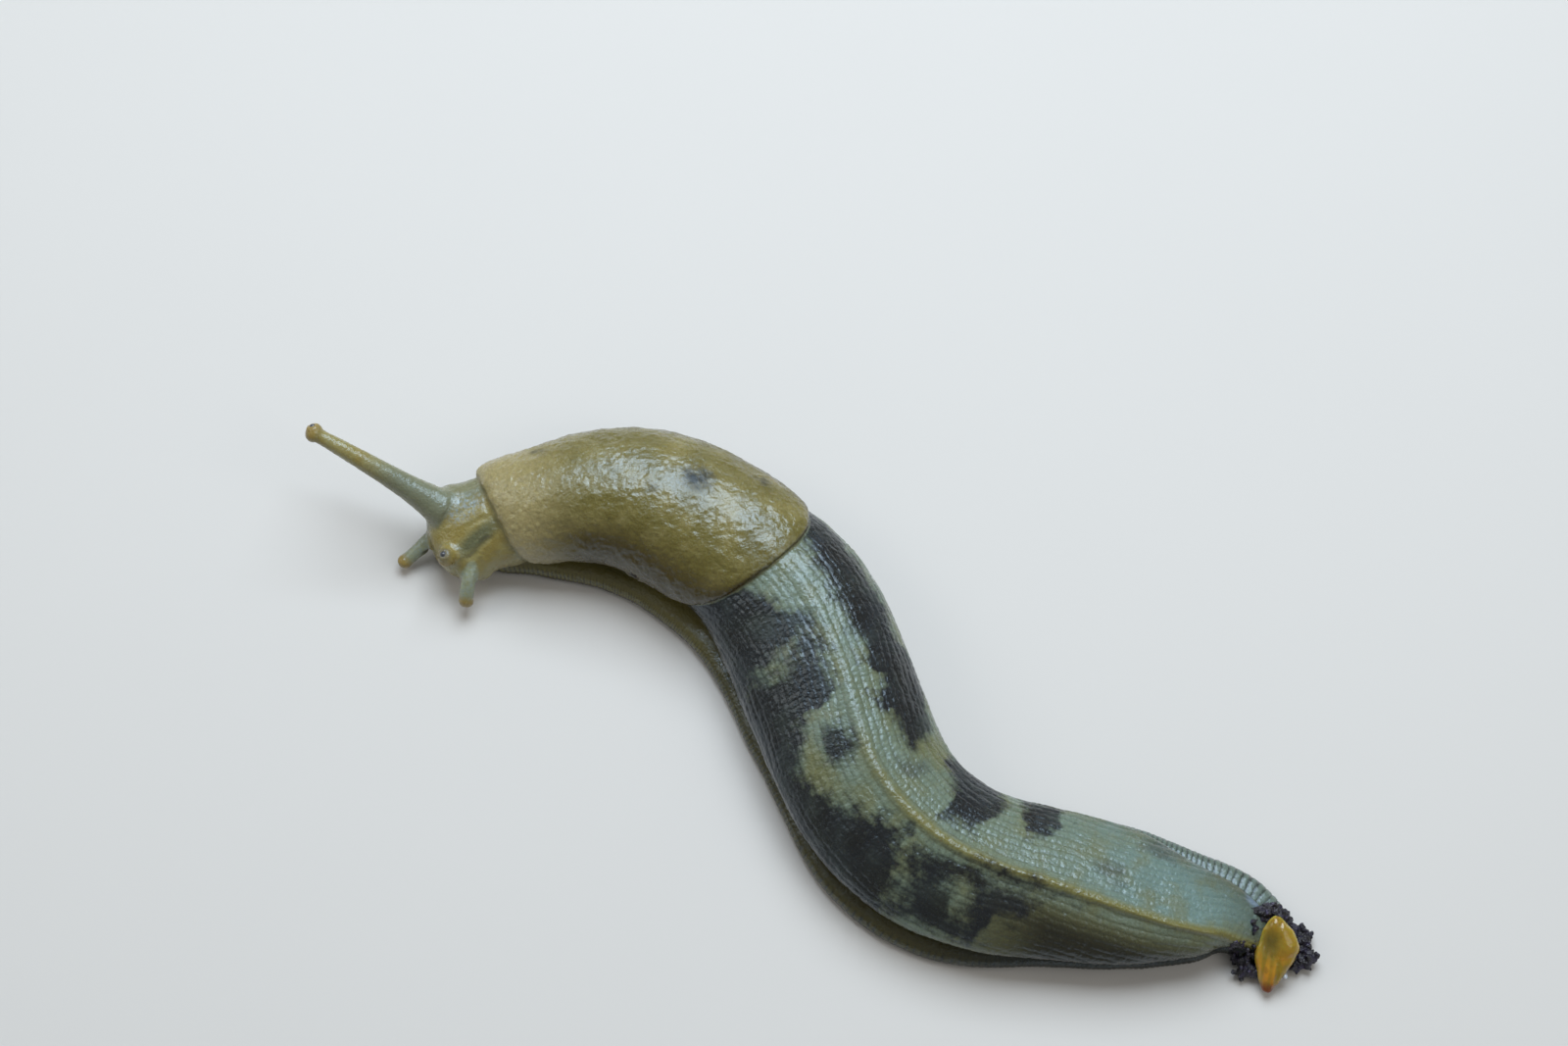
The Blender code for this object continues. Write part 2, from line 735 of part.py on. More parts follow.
def plug_body(name, material, grow=0.0):
    """A flattened drop that leans on the tail's end and reaches down to the floor."""
    top, tip = Vector(PLUG_TOP), Vector(PLUG_TIP)
    way = (tip - top).normalized()
    side_way = way.cross(Vector((0.0, 0.0, 1.0))).normalized()
    up_way = side_way.cross(way).normalized()
    lump, lump_rate, lump_start = PLUG_LUMP
    rib, ribs, rib_twist = PLUG_RIB
    floor = PLUG_FLOOR if not grow else -math.inf
    rings = []
    for i in range(PLUG_RINGS + 1):
        share = PLUG_ENDS + (1.0 - 2.0 * PLUG_ENDS) * i / PLUG_RINGS
        swell = math.sin(math.pi * share ** PLUG_FULLNESS[0]) ** PLUG_FULLNESS[1]
        swell *= 1.0 + lump * math.sin(lump_rate * share + lump_start)
        centre = top.lerp(tip, share)
        ring = []
        for j in range(PLUG_SIDES):
            turn = 2.0 * math.pi * j / PLUG_SIDES
            size = swell * (1.0 + rib * math.sin(ribs * turn + rib_twist * share))
            wide = (PLUG_HALF_WIDTH * size + grow) * math.cos(turn)
            deep = (PLUG_HALF_DEPTH * size + grow) * math.sin(turn)
            point = centre + side_way * wide + up_way * deep
            point.z = max(point.z, floor)
            ring.append(point)
        rings.append(ring)
    return loft(name, rings, material)


def tail_tools(material):
    """The tail and the end of the foot, grown by the gap, to cut their seats."""
    back_steps = steps_between(TAIL_TOOLS_START, BACK_END - TAIL_TOOLS_END, TAIL_TOOLS_STEP)
    foot_steps = steps_between(TAIL_TOOLS_START, FOOT_END - FOOT_END_CAP, FRINGE_PITCH / FRINGE_STEPS)
    return [
        loft("tool", [back_ring(along, GAP) for along in back_steps], material),
        loft("tool", [foot_ring(along, GAP) for along in foot_steps], material),
    ]


def build_plug(material):
    plug = plug_body("tail_mucus_plug", material)
    combine(plug, tail_tools(material), "DIFFERENCE")


def build_crumbs(material):
    """Soil crumbs in two arcs round the plug, each fused into one lumpy body."""
    draw = random.Random(CRUMB_SEED)
    for name, (start, end, count) in CRUMB_ARCS.items():
        crumbs = []
        for i in range(count):
            degrees = start + (end - start) * i / (count - 1)
            turn = math.radians(degrees)
            radius = draw.uniform(*CRUMB_RADII)
            spread = draw.uniform(*CRUMB_SPREAD)
            x = CRUMB_CENTRE[0] + (CRUMB_REACH[0] + spread) * math.cos(turn)
            y = CRUMB_CENTRE[1] + (CRUMB_REACH[1] + spread) * math.sin(turn)
            climb = smooth_step((degrees - CRUMB_CLIMB[0]) / (CRUMB_CLIMB[1] - CRUMB_CLIMB[0]))
            climb *= GROOVE_HEIGHT if degrees < 180.0 else 0.0
            centre = Vector((x, y, climb + radius * draw.uniform(*CRUMB_LIFT)))
            crumbs.append(ball(name, centre, radius, material, CRUMB_ROWS))
        arc = crumbs.pop(0)
        arc.name = name
        combine(arc, crumbs, "UNION")
        tools = tail_tools(material)
        tools.append(plug_body("tool", material, GAP))
        combine(arc, tools, "DIFFERENCE")


def make_material(name, colour, roughness):
    material = bpy.data.materials.new(name)
    material.use_nodes = True
    shader = material.node_tree.nodes["Principled BSDF"]
    shader.inputs["Base Color"].default_value = (*colour, 1.0)
    shader.inputs["Roughness"].default_value = roughness
    return material


def stand_on_origin():
    """Moves every piece so that the origin is under the middle of the slug's box."""
    low = Vector((math.inf, math.inf, math.inf))
    high = -low
    pieces = [piece for piece in bpy.data.objects if piece.type == "MESH"]
    for piece in pieces:
        for vertex in piece.data.vertices:
            low = Vector(map(min, low, vertex.co))
            high = Vector(map(max, high, vertex.co))
    shift = Vector((-(low.x + high.x) / 2.0, -(low.y + high.y) / 2.0, 0.0))
    for piece in pieces:
        piece.data.transform(Matrix.Translation(shift))


def main():
    for piece in list(bpy.data.objects):
        bpy.data.objects.remove(piece)
    looks = {name: make_material(name, *values) for name, values in MATERIALS.items()}
    back_looks = {name: looks["sage_skin"] for name, _, _ in LENGTHS}
    back_looks["neck"] = looks["head_skin"]
    back_looks["trunk_rear"] = looks["dark_flank"]
    build_head(looks["head_skin"])
    build_tentacles(looks["head_skin"], looks["eye"])
    build_back(back_looks)
    build_foot(looks["foot_skin"])
    build_mantle(looks["mantle_skin"])
    build_plug(looks["amber_mucus"])
    build_crumbs(looks["soil_crumbs"])
    stand_on_origin()


main()
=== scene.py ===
"""The looks of a spotted banana slug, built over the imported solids.

One moist skin stands for all the flesh: back, foot, mantle, head and tentacles are laid out as closed
forms in millimetres, grown together, and then given their ridges, grains, folds and grooves. Places on
the slug are told by their length along the back from the face (along), their side to the slug's right
(side) and their height over the floor (height), as in the part's source.
"""

import json
import math
import random

import bmesh
import bpy
import numpy as np
from mathutils import Matrix, Vector
from mathutils.bvhtree import BVHTree

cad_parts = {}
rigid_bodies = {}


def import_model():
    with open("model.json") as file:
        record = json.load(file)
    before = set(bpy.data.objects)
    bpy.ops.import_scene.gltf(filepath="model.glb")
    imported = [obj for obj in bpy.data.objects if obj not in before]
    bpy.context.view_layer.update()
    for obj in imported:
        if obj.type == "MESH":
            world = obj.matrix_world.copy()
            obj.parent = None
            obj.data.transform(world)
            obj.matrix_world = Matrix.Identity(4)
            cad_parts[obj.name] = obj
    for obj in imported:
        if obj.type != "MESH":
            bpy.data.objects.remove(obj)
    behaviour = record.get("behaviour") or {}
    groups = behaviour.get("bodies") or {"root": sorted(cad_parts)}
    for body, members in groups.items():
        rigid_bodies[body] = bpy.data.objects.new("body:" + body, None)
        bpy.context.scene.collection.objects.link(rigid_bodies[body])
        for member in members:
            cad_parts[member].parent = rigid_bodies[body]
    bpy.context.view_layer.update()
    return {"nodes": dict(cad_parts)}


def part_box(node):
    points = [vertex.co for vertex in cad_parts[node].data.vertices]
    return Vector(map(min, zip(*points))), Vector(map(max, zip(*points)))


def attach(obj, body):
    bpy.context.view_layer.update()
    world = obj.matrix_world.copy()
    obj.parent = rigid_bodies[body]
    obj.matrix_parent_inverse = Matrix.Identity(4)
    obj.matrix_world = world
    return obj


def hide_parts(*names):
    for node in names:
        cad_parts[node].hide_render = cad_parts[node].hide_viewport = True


MM = 0.001

# The crawl: where the face is, which way the body leaves it, and its bends (start, end, degrees)
FACE_PLACE = (-40.6, -4.7)
FACE_HEADING = 23.0
BENDS = ((3.0, 55.0, -89.0), (65.5, 92.0, 58.5), (110.0, 121.0, -60.0))
LINE_STEP = 0.5
LINE_LENGTH = 126.0

# The back across its length: half width, height, shift right, crest's lean right, keel
BACK_SECTIONS = (
    (0.0, 4.6, 6.3, 0.0, 0.8, 0.0),
    (4.0, 5.2, 7.9, 0.0, 1.3, 0.0),
    (8.0, 5.5, 9.0, -0.2, 1.0, 0.0),
    (14.0, 5.7, 10.2, -0.5, 0.2, 0.0),
    (24.0, 6.8, 11.2, -0.2, -0.3, 0.0),
    (34.0, 7.8, 11.6, -0.7, 0.2, 0.1),
    (43.0, 9.2, 12.3, 0.2, 1.0, 0.2),
    (50.0, 9.8, 12.6, 0.3, 1.6, 0.35),
    (58.0, 9.8, 12.6, -0.1, 1.7, 0.45),
    (68.0, 9.6, 12.2, -0.3, 0.5, 0.6),
    (80.0, 9.4, 11.2, 0.0, 0.0, 0.9),
    (92.0, 8.75, 9.9, 0.0, -1.3, 1.0),
    (102.0, 7.75, 8.6, 0.0, -2.9, 1.0),
    (110.0, 5.1, 7.0, -0.5, -3.1, 1.0),
    (116.0, 2.9, 5.0, -0.4, -2.4, 0.9),
    (121.0, 1.9, 3.4, -0.3, -1.0, 0.6),
)
BACK_END = 119.2
BACK_END_ROUNDING = 3.0
BACK_END_LEAST = 0.045
WIDEST_SHARE = 0.33
TUCK_ANGLE = math.radians(30.0)
LEAN_POWER = 1.5
KEEL_SHARPENING = 0.42
KEEL_RIDGE_RISE = 0.55
KEEL_RIDGE_WIDTH = 0.75
KEEL_FULL_HALF_WIDTH = 6.0

# The foot: half width of the sole with its fringe, on the left and on the right
FOOT_SECTIONS = (
    (4.0, 4.2, 4.2),
    (8.0, 5.4, 5.2),
    (14.0, 7.9, 5.9),
    (24.0, 10.2, 7.6),
    (34.0, 11.2, 8.0),
    (43.0, 10.9, 8.9),
    (50.0, 10.5, 9.6),
    (58.0, 10.4, 9.7),
    (68.0, 10.2, 9.5),
    (76.0, 10.8, 9.6),
    (84.0, 10.5, 9.5),
    (92.0, 9.0, 9.0),
    (102.0, 8.0, 8.5),
    (110.0, 6.2, 6.4),
    (116.0, 3.9, 4.9),
    (121.0, 2.9, 3.4),
)
FOOT_START = 4.3
FOOT_END = 120.8
FOOT_END_ROUNDING = 3.2
FOOT_END_LEAST = 0.1
GROOVE_HEIGHT = 2.55

# The head: a blunt face over two lips, with swellings of (along, side, height), reach and rise
HEAD_END = 6.6
FACE_ROUNDING = 3.4
FACE_BLUNTNESS = 2.6
FACE_LEAST = 0.12
FACE_HEIGHT = 3.9
HEAD_FLOOR = 0.9
HEAD_FLOOR_RISE = (2.3, 3.9)
HEAD_SWELLINGS = (
    ((3.9, -4.4, 2.8), 1.9, 0.9),
    ((3.9, 4.4, 2.8), 1.9, 0.9),
    ((0.5, -1.4, 2.1), 1.3, 0.6),
    ((0.5, 1.4, 2.1), 1.3, 0.6),
    ((0.3, 0.0, 4.8), 1.7, 0.4),
    ((1.4, -2.9, 5.6), 1.5, 0.5),
    ((2.4, 4.0, 6.2), 2.3, 1.1),
)

# Tentacles: root, turn to the left from straight ahead, rise, length, bow and radii
TENTACLES = {
    "upper_right": ((2.9, 2.9, 6.1), -48.0, 22.0, 18.4, 0.5, 0.66, 0.80, 1.10, 6.0, 1.02),
    "upper_left": ((1.6, -2.2, 6.0), 38.0, 26.0, 2.0, 0.0, 1.0, 0.1, 0.15, 3.0, 1.05),
    "lower_right": ((1.2, 1.9, 3.4), 14.0, -21.0, 6.0, -0.3, 0.66, 0.10, 0.40, 4.0, 0.80),
    "lower_left": ((3.9, -3.2, 5.2), 55.7, -34.4, 6.23, 0.5, 0.66, 0.10, 0.25, 4.0, 0.78),
}
EYE_LEANS = {"upper_right": (0.95, 0.8), "upper_left": (1.6, 0.5)}
EYE_RADIUS = 0.42
EYE_SINK = 0.55

# The mantle: a thick shield over the front of the back, free at its rim
MANTLE_FRONT = 7.9
MANTLE_REAR = 43.8
MANTLE_FRONT_SKEW = 1.1
MANTLE_REAR_SKEW = 2.0
MANTLE_COVER = (
    (7.0, 0.98),
    (11.0, 0.95),
    (16.0, 0.81),
    (21.0, 0.77),
    (28.0, 0.82),
    (36.0, 0.86),
    (44.0, 0.86),
)
MANTLE_SIDE_THINNING = 0.5
MANTLE_THICKNESS = (
    (7.0, 1.3),
    (13.0, 1.55),
    (20.0, 2.15),
    (30.0, 2.15),
    (37.0, 1.6),
    (44.0, 0.95),
)
MANTLE_FRONT_SQUARE = 4.2
MANTLE_REAR_SQUARE = 2.3
MANTLE_LIFT = 0.42
RIM_ROUNDING = 9.0
BREATHING_HOLE = (27.6, -0.84)


def smooth_step(share):
    share = np.clip(share, 0.0, 1.0)
    return share * share * (3.0 - 2.0 * share)


def heading(along):
    """The way from head to tail, in radians anticlockwise from +X."""
    turn = FACE_HEADING + 0.0 * np.asarray(along, float)
    for start, end, angle in BENDS:
        turn = turn + angle * smooth_step((along - start) / (end - start))
    return np.radians(turn)


def crawl_line():
    middles = (np.arange(int(LINE_LENGTH / LINE_STEP)) + 0.5) * LINE_STEP
    angles = heading(middles)
    x = FACE_PLACE[0] + np.concatenate(([0.0], np.cumsum(np.cos(angles)))) * LINE_STEP
    y = FACE_PLACE[1] + np.concatenate(([0.0], np.cumsum(np.sin(angles)))) * LINE_STEP
    return x, y


LINE_X, LINE_Y = crawl_line()
LINE_ALONG = np.arange(len(LINE_X)) * LINE_STEP


def place(along, side, height):
    """Points of the slug's own measures, as places in the world, in millimetres."""
    along, side, height = np.broadcast_arrays(along, side, height)
    angle = heading(along)
    ahead = np.minimum(along, 0.0)
    x = np.interp(along, LINE_ALONG, LINE_X) + np.cos(angle) * ahead - np.sin(angle) * side
    y = np.interp(along, LINE_ALONG, LINE_Y) + np.sin(angle) * ahead + np.cos(angle) * side
    return np.stack([x, y, height], -1)


def read_table(table, along):
    """Sizes at these places along the back, smooth through the table's rows."""
    table = np.asarray(table, float)
    last = len(table) - 1
    along = np.clip(along, table[0, 0], table[last, 0])
    index = np.clip(np.searchsorted(table[:, 0], along, side="right") - 1, 0, last - 1)
    low, high = table[index], table[index + 1]
    before, after = table[np.maximum(index - 1, 0)], table[np.minimum(index + 2, last)]
    span = (high[..., :1] - low[..., :1])
    share = (along[..., None] - low[..., :1]) / span
    slope_low = (high - before) / (high[..., :1] - before[..., :1])
    slope_high = (after - low) / (after[..., :1] - low[..., :1])
    rise = high - low
    ease = (slope_low * span - rise) * (1.0 - share) + (rise - slope_high * span) * share
    values = low + rise * share + share * (1.0 - share) * ease
    return [values[..., column] for column in range(1, table.shape[1])]


def rounded_end(left_over, rounding, least):
    share = np.clip(left_over / rounding, 0.0, 1.0)
    return np.maximum(np.sqrt(1.0 - (1.0 - share) ** 2), least)


def back_section(along, across):
    """Side and height of the back's skin: across is -1 at the left groove, 0 on the crest, 1 right."""
    half_width, height, shift, lean, keel = read_table(BACK_SECTIONS, along)
    shrink = rounded_end(BACK_END - along, BACK_END_ROUNDING, BACK_END_LEAST)
    half_width = half_width * shrink
    height = GROOVE_HEIGHT + (height - GROOVE_HEIGHT) * shrink
    widest = GROOVE_HEIGHT + WIDEST_SHARE * (height - GROOVE_HEIGHT)
    angle = -TUCK_ANGLE + (1.0 - np.abs(across)) * (math.pi / 2.0 + TUCK_ANGLE)
    power = 1.0 + KEEL_SHARPENING * keel
    cosine, sine = np.maximum(np.cos(angle), 0.0), np.maximum(np.sin(angle), 0.0)
    under = angle < 0.0
    tuck = (widest - GROOVE_HEIGHT) * np.sin(angle) / math.sin(TUCK_ANGLE)
    side = half_width * np.where(under, np.cos(angle), cosine**power)
    level = widest + np.where(under, tuck, (height - widest) * sine**power)
    ridge = KEEL_RIDGE_RISE * keel * np.minimum(half_width / KEEL_FULL_HALF_WIDTH, 1.0)
    level = level + ridge * np.exp(-((side / KEEL_RIDGE_WIDTH) ** 2))
    rise = np.maximum((level - GROOVE_HEIGHT) / (height - GROOVE_HEIGHT), 0.0)
    side = np.copysign(side, across) + shift + lean * shrink * rise**LEAN_POWER
    return side, level


def back_point(along, across):
    along, across = np.broadcast_arrays(np.asarray(along, float), np.asarray(across, float))
    side, level = back_section(along, across)
    return place(along, side, level)


def mantle_edge(spoke):
    """How far the rim is from the shield's middle, as shares of its length and of its cover."""
    cosine, sine = np.cos(spoke), np.sin(spoke)
    square = np.where(cosine < 0.0, MANTLE_FRONT_SQUARE, MANTLE_REAR_SQUARE)
    lengthwise = np.copysign(np.abs(cosine) ** (2.0 / square), cosine)
    across = np.copysign(np.abs(sine) ** (2.0 / square), sine)
    return lengthwise, across


def mantle_place(part, spoke):
    """Where a part of the shield lies on the back: its length along, and how far across."""
    lengthwise, across = mantle_edge(spoke)
    middle, half_length = (MANTLE_FRONT + MANTLE_REAR) / 2.0, (MANTLE_REAR - MANTLE_FRONT) / 2.0
    skew = np.where(lengthwise < 0.0, MANTLE_FRONT_SKEW, MANTLE_REAR_SKEW)
    along = middle + half_length * lengthwise * part - skew * across * part * np.abs(lengthwise)
    (cover,) = read_table(MANTLE_COVER, along)
    return along, across * cover * part


def back_outward(along, across):
    """The way straight out of the back's skin."""
    ahead = back_point(along + 0.4, across) - back_point(along - 0.4, across)
    right, left = np.minimum(across + 0.02, 1.0), np.maximum(across - 0.02, -1.0)
    out = np.cross(ahead, back_point(along, right) - back_point(along, left))
    out /= np.linalg.norm(out, axis=-1, keepdims=True)
    inside = place(along, 0.0, GROOVE_HEIGHT + 0.0 * along)
    flip = np.sum(out * (back_point(along, across) - inside), -1, keepdims=True) < 0.0
    return np.where(flip, -out, out)


RIM_HANG = 0.1
RIM_UNDERCUT = 8.0
UNDERSIDE_DEPTH = 0.6


def mantle_point(part, spoke, under=False):
    """The shield's outer skin, or its hidden underside, which runs from below the rim into the back."""
    part, spoke = np.broadcast_arrays(np.asarray(part, float), np.asarray(spoke, float))
    along, across = mantle_place(part, spoke)
    (thickness,) = read_table(MANTLE_THICKNESS, along)
    thickness = thickness * (1.0 - MANTLE_SIDE_THINNING * across * across)
    rise = MANTLE_LIFT + thickness * np.sqrt(np.maximum(1.0 - part**RIM_ROUNDING, 0.0))
    if under:
        rise = np.maximum(RIM_HANG - RIM_UNDERCUT * (1.0 - part), -UNDERSIDE_DEPTH) + 0.0 * thickness
    return back_point(along, across) + back_outward(along, across) * rise[..., None]


FAR_REACH = 99.0


class Form:
    """A closed form with the slug's own measures kept at each of its points."""

    MEASURES = ("along", "arc", "part", "reach", "edge", "which", "mantle", "head", "foot", "feeler")

    def __init__(self):
        self.points, self.faces, self.measures = [], [], []

    def add_rings(self, rings, **measures):
        """Rings of points, from one end to the other, joined into a closed tube."""
        rows, count = rings.shape[:2]
        start = sum(len(points) for points in self.points)
        index = start + np.arange(rows * count).reshape(rows, count)
        on = np.roll(index, -1, axis=1)
        self.faces += np.stack([index[:-1], on[:-1], on[1:], index[1:]], -1).reshape(-1, 4).tolist()
        self.faces += [index[0].tolist(), index[-1].tolist()]
        self.points.append(rings.reshape(-1, 3))
        table = np.zeros((rows * count, len(self.MEASURES)))
        table[:, self.MEASURES.index("reach")] = FAR_REACH
        for name, values in measures.items():
            values = np.broadcast_to(np.asarray(values, float), (rows, count))
            table[:, self.MEASURES.index(name)] = values.ravel()
        self.measures.append(table)


def arcs_of(rings, crest):
    """Lengths round each ring from its crest, to the right positive."""
    steps = np.linalg.norm(np.diff(rings, axis=1), axis=2)
    arcs = np.concatenate([np.zeros((len(rings), 1)), np.cumsum(steps, 1)], 1)
    return arcs - arcs[:, crest : crest + 1]


FLANK_STEPS = 56
SOLE_SINK = 1.3


def add_back(form):
    main = np.arange(3.6, BACK_END - BACK_END_ROUNDING, 0.35)
    rounding = 1.0 - np.cos(np.radians(np.linspace(90.0, 6.0, 16)))
    along = np.concatenate([main, BACK_END - BACK_END_ROUNDING * rounding])
    across = np.linspace(-1.0, 1.0, 2 * FLANK_STEPS + 1)
    over = back_point(along[:, None], across[None, :])
    arcs = arcs_of(over, FLANK_STEPS)
    low = over[:, [-1, 0]].copy()
    middle = low.mean(1, keepdims=True)
    low = middle + (low - middle) * 0.8
    low[..., 2] = np.minimum(SOLE_SINK, low[..., 2])
    rings = np.concatenate([over, low], 1)
    arcs = np.concatenate([arcs, arcs[:, [-1, 0]]], 1)
    form.add_rings(rings, along=along[:, None], arc=arcs)


def head_floor(along):
    start, end = HEAD_FLOOR_RISE
    return HEAD_FLOOR + (GROOVE_HEIGHT - HEAD_FLOOR) * smooth_step((along - start) / (end - start))


def add_head(form):
    share = np.linspace(0.0, 1.0, 60)
    along = (HEAD_END + 2.4) * (1.0 - np.sin(share * math.pi / 2.0)) + 0.015
    across = np.linspace(-1.0, 1.0, 2 * FLANK_STEPS + 1)
    over = back_point(along[:, None], across[None, :])
    right, left = over[:, -1:], over[:, :1]
    under_share = np.linspace(0.0, 1.0, 26)[1:-1][None, :, None]
    below = right + (left - right) * under_share
    under = smooth_step((HEAD_END - 1.4 - along) / 2.6)[:, None]
    floor = head_floor(along)[:, None]
    below[..., 2] -= under * np.sin(math.pi * under_share[..., 0]) * (GROOVE_HEIGHT - floor)
    rings = np.concatenate([over, below], 1)
    front = np.minimum(along / FACE_ROUNDING, 1.0)
    shrink = np.maximum(1.0 - (1.0 - front) ** FACE_BLUNTNESS, 0.0) ** (1.0 / FACE_BLUNTNESS)
    shrink = np.maximum(shrink, 0.02)[:, None, None]
    centre = place(along, 0.0, FACE_HEIGHT)[:, None]
    rings = centre + (rings - centre) * shrink
    outward = rings - centre
    outward /= np.linalg.norm(outward, axis=-1, keepdims=True)
    rise = np.zeros(rings.shape[:2])
    for spot, reach, height in HEAD_SWELLINGS:
        apart = np.linalg.norm(rings - place(*spot), axis=-1)
        rise += height * np.exp(-((apart / reach) ** 2))
    rise *= smooth_step((HEAD_END - along) / 2.0)[:, None]
    rings = rings + outward * rise[..., None]
    rings[..., 2] = np.maximum(rings[..., 2], head_floor(along)[:, None])
    arcs = arcs_of(rings, FLANK_STEPS)
    form.add_rings(rings, along=along[:, None], arc=arcs, head=1.0)


# The foot's edge from the sole up: how far inside the edge, and the height
FOOT_EDGE = ((0.8, 0.0), (0.35, 0.18), (0.08, 0.55), (0.0, 1.0), (0.12, 1.5), (0.45, 1.95), (1.0, 2.28), (1.9, 2.45), (3.2, 2.5))


def add_foot(form):
    start, end = FOOT_START + 0.02, FOOT_END - 0.02
    ends = (1.0 - np.cos(np.radians(np.linspace(8.0, 88.0, 12)))) * FOOT_END_ROUNDING
    main = np.arange(start + FOOT_END_ROUNDING, end - FOOT_END_ROUNDING, 0.35)
    along = np.concatenate([start + ends, main, end - ends[::-1]])
    left, right = read_table(FOOT_SECTIONS, along)
    rounding = rounded_end(along - FOOT_START, FOOT_END_ROUNDING, FOOT_END_LEAST)
    rounding = rounding * rounded_end(FOOT_END - along, FOOT_END_ROUNDING, FOOT_END_LEAST)
    profile = np.array(FOOT_EDGE)
    fine = np.linspace(0.0, len(profile) - 1.0, 33)
    inset = np.interp(fine, np.arange(len(profile)), profile[:, 0])
    level = np.interp(fine, np.arange(len(profile)), profile[:, 1])
    columns, edges = [], []
    for sign, width in ((-1.0, left), (1.0, right)):
        side = sign * np.maximum(width[:, None] - inset[None, :], 0.3) * rounding[:, None]
        points = place(along[:, None], side, np.broadcast_to(level, side.shape))
        edge = np.broadcast_to(fine / fine[-1], side.shape)
        columns.append(points if sign < 0.0 else points[:, ::-1])
        edges.append(edge if sign < 0.0 else edge[:, ::-1])
    sides = np.concatenate([-np.ones_like(edges[0]), np.ones_like(edges[1])], 1)
    form.add_rings(
        np.concatenate(columns, 1), along=along[:, None], arc=sides, edge=np.concatenate(edges, 1), foot=1.0
    )


def add_mantle(form):
    parts = np.concatenate([np.linspace(0.02, 0.86, 42), 1.0 - 0.14 * np.cos(np.linspace(0.05, 1.0, 24) * math.pi / 2.0) ** 1.4])
    spokes = np.linspace(0.0, 2.0 * math.pi, 360, endpoint=False)
    top = mantle_point(parts[:, None], spokes[None, :])
    under = mantle_point(parts[::-1, None], spokes[None, :], under=True)
    along, across = mantle_place(parts[:, None], spokes[None, :])
    form.add_rings(
        np.concatenate([top, under]),
        along=np.concatenate([along, along[::-1]]),
        arc=np.concatenate([across, across[::-1]]) * 10.0,
        part=np.concatenate([parts, parts[::-1]])[:, None],
        mantle=1.0,
    )


BULB_START = 1.6
FEELER_SIDES = 40

# How much fuller than the solid a tentacle is drawn all over, and more at its middle, in millimetres
FEELER_SWELL = {
    "upper_right": (0.09, 0.04),
    "upper_left": (0.08, 0.0),
    "lower_right": (0.08, 0.03),
    "lower_left": (0.12, 0.08),
}


def feeler_path(name):
    """Centres and radii along a tentacle, its own axes, and how far each ring is from the tip."""
    root, turn, rise, length, bow, tip, taper, flare, flare_power, bulb = TENTACLES[name]
    ahead = float(heading(root[0])) + math.pi + math.radians(turn)
    rise = math.radians(rise)
    way = np.array([math.cos(ahead) * math.cos(rise), math.sin(ahead) * math.cos(rise), math.sin(rise)])
    side_way = np.cross(way, (0.0, 0.0, 1.0))
    side_way /= np.linalg.norm(side_way)
    up_way = np.cross(side_way, way)
    shaft = np.linspace(0.0, length - bulb * BULB_START, max(int(length / 0.3), 8))
    angles = np.radians(np.linspace(-20.0, 89.0, 18))
    reach = np.concatenate([shaft, length - bulb + bulb * np.sin(angles)])
    left = 1.0 - reach / length
    radius = tip + taper * left + flare * left**flare_power
    swell, more = FEELER_SWELL[name]
    radius = radius + swell * (1.0 - left**4) + more * 4.0 * left * (1.0 - left)
    radius[len(shaft) :] = (bulb + swell) * np.cos(angles)
    bend = bow * 4.0 * left * (1.0 - left)
    centres = np.array(place(*root)) + way * reach[:, None] + up_way * bend[:, None]
    return centres, radius, way, side_way, up_way, length - reach


def add_feelers(form):
    turns = np.linspace(0.0, 2.0 * math.pi, FEELER_SIDES, endpoint=False)
    for number, name in enumerate(TENTACLES, start=1):
        centres, radius, _, side_way, up_way, left = feeler_path(name)
        around = np.cos(turns)[:, None] * side_way + np.sin(turns)[:, None] * up_way
        rings = centres[:, None] + around[None] * radius[:, None, None]
        form.add_rings(rings, arc=turns[None, :], reach=left[:, None], which=number, feeler=1.0)


def eye_middle(name):
    """Where an eye's middle is, and which way the eye looks."""
    _, _, way, side_way, up_way, _ = feeler_path(name)
    lift, lean = EYE_LEANS[name]
    look = way + up_way * lift + side_way * lean
    look /= np.linalg.norm(look)
    bulb = TENTACLES[name][-1]
    tip = np.array(place(*TENTACLES[name][0])) + way * TENTACLES[name][3]
    return tip - way * bulb + look * (bulb - EYE_SINK * EYE_RADIUS), look


MASK = np.uint64(4294967295)


def hashed(cells, seed):
    """A number from 0 to 1 for each whole-numbered cell, the same in every run."""
    value = np.full(cells.shape[:-1], seed * 374761393 % 4294967296, np.uint64)
    for column, factor in zip(range(cells.shape[-1]), (668265263, 2246822519, 3266489917)):
        value = (value ^ (cells[..., column].astype(np.int64).astype(np.uint64) * np.uint64(factor))) & MASK
        value = (value * np.uint64(1274126177)) & MASK
        value = value ^ (value >> np.uint64(15))
    return value.astype(float) / 4294967295.0


def noise(places, size, seed):
    """Soft lumps of this size, from -1 to 1, at each place."""
    spots = np.asarray(places, float) / size
    cells = np.floor(spots)
    share = spots - cells
    share = share * share * share * (share * (share * 6.0 - 15.0) + 10.0)
    total = np.zeros(len(spots))
    for corner in np.ndindex(*(2,) * spots.shape[1]):
        weight = np.prod(np.where(np.array(corner) == 1, share, 1.0 - share), axis=1)
        total += weight * hashed(cells + np.array(corner), seed)
    return total * 2.0 - 1.0


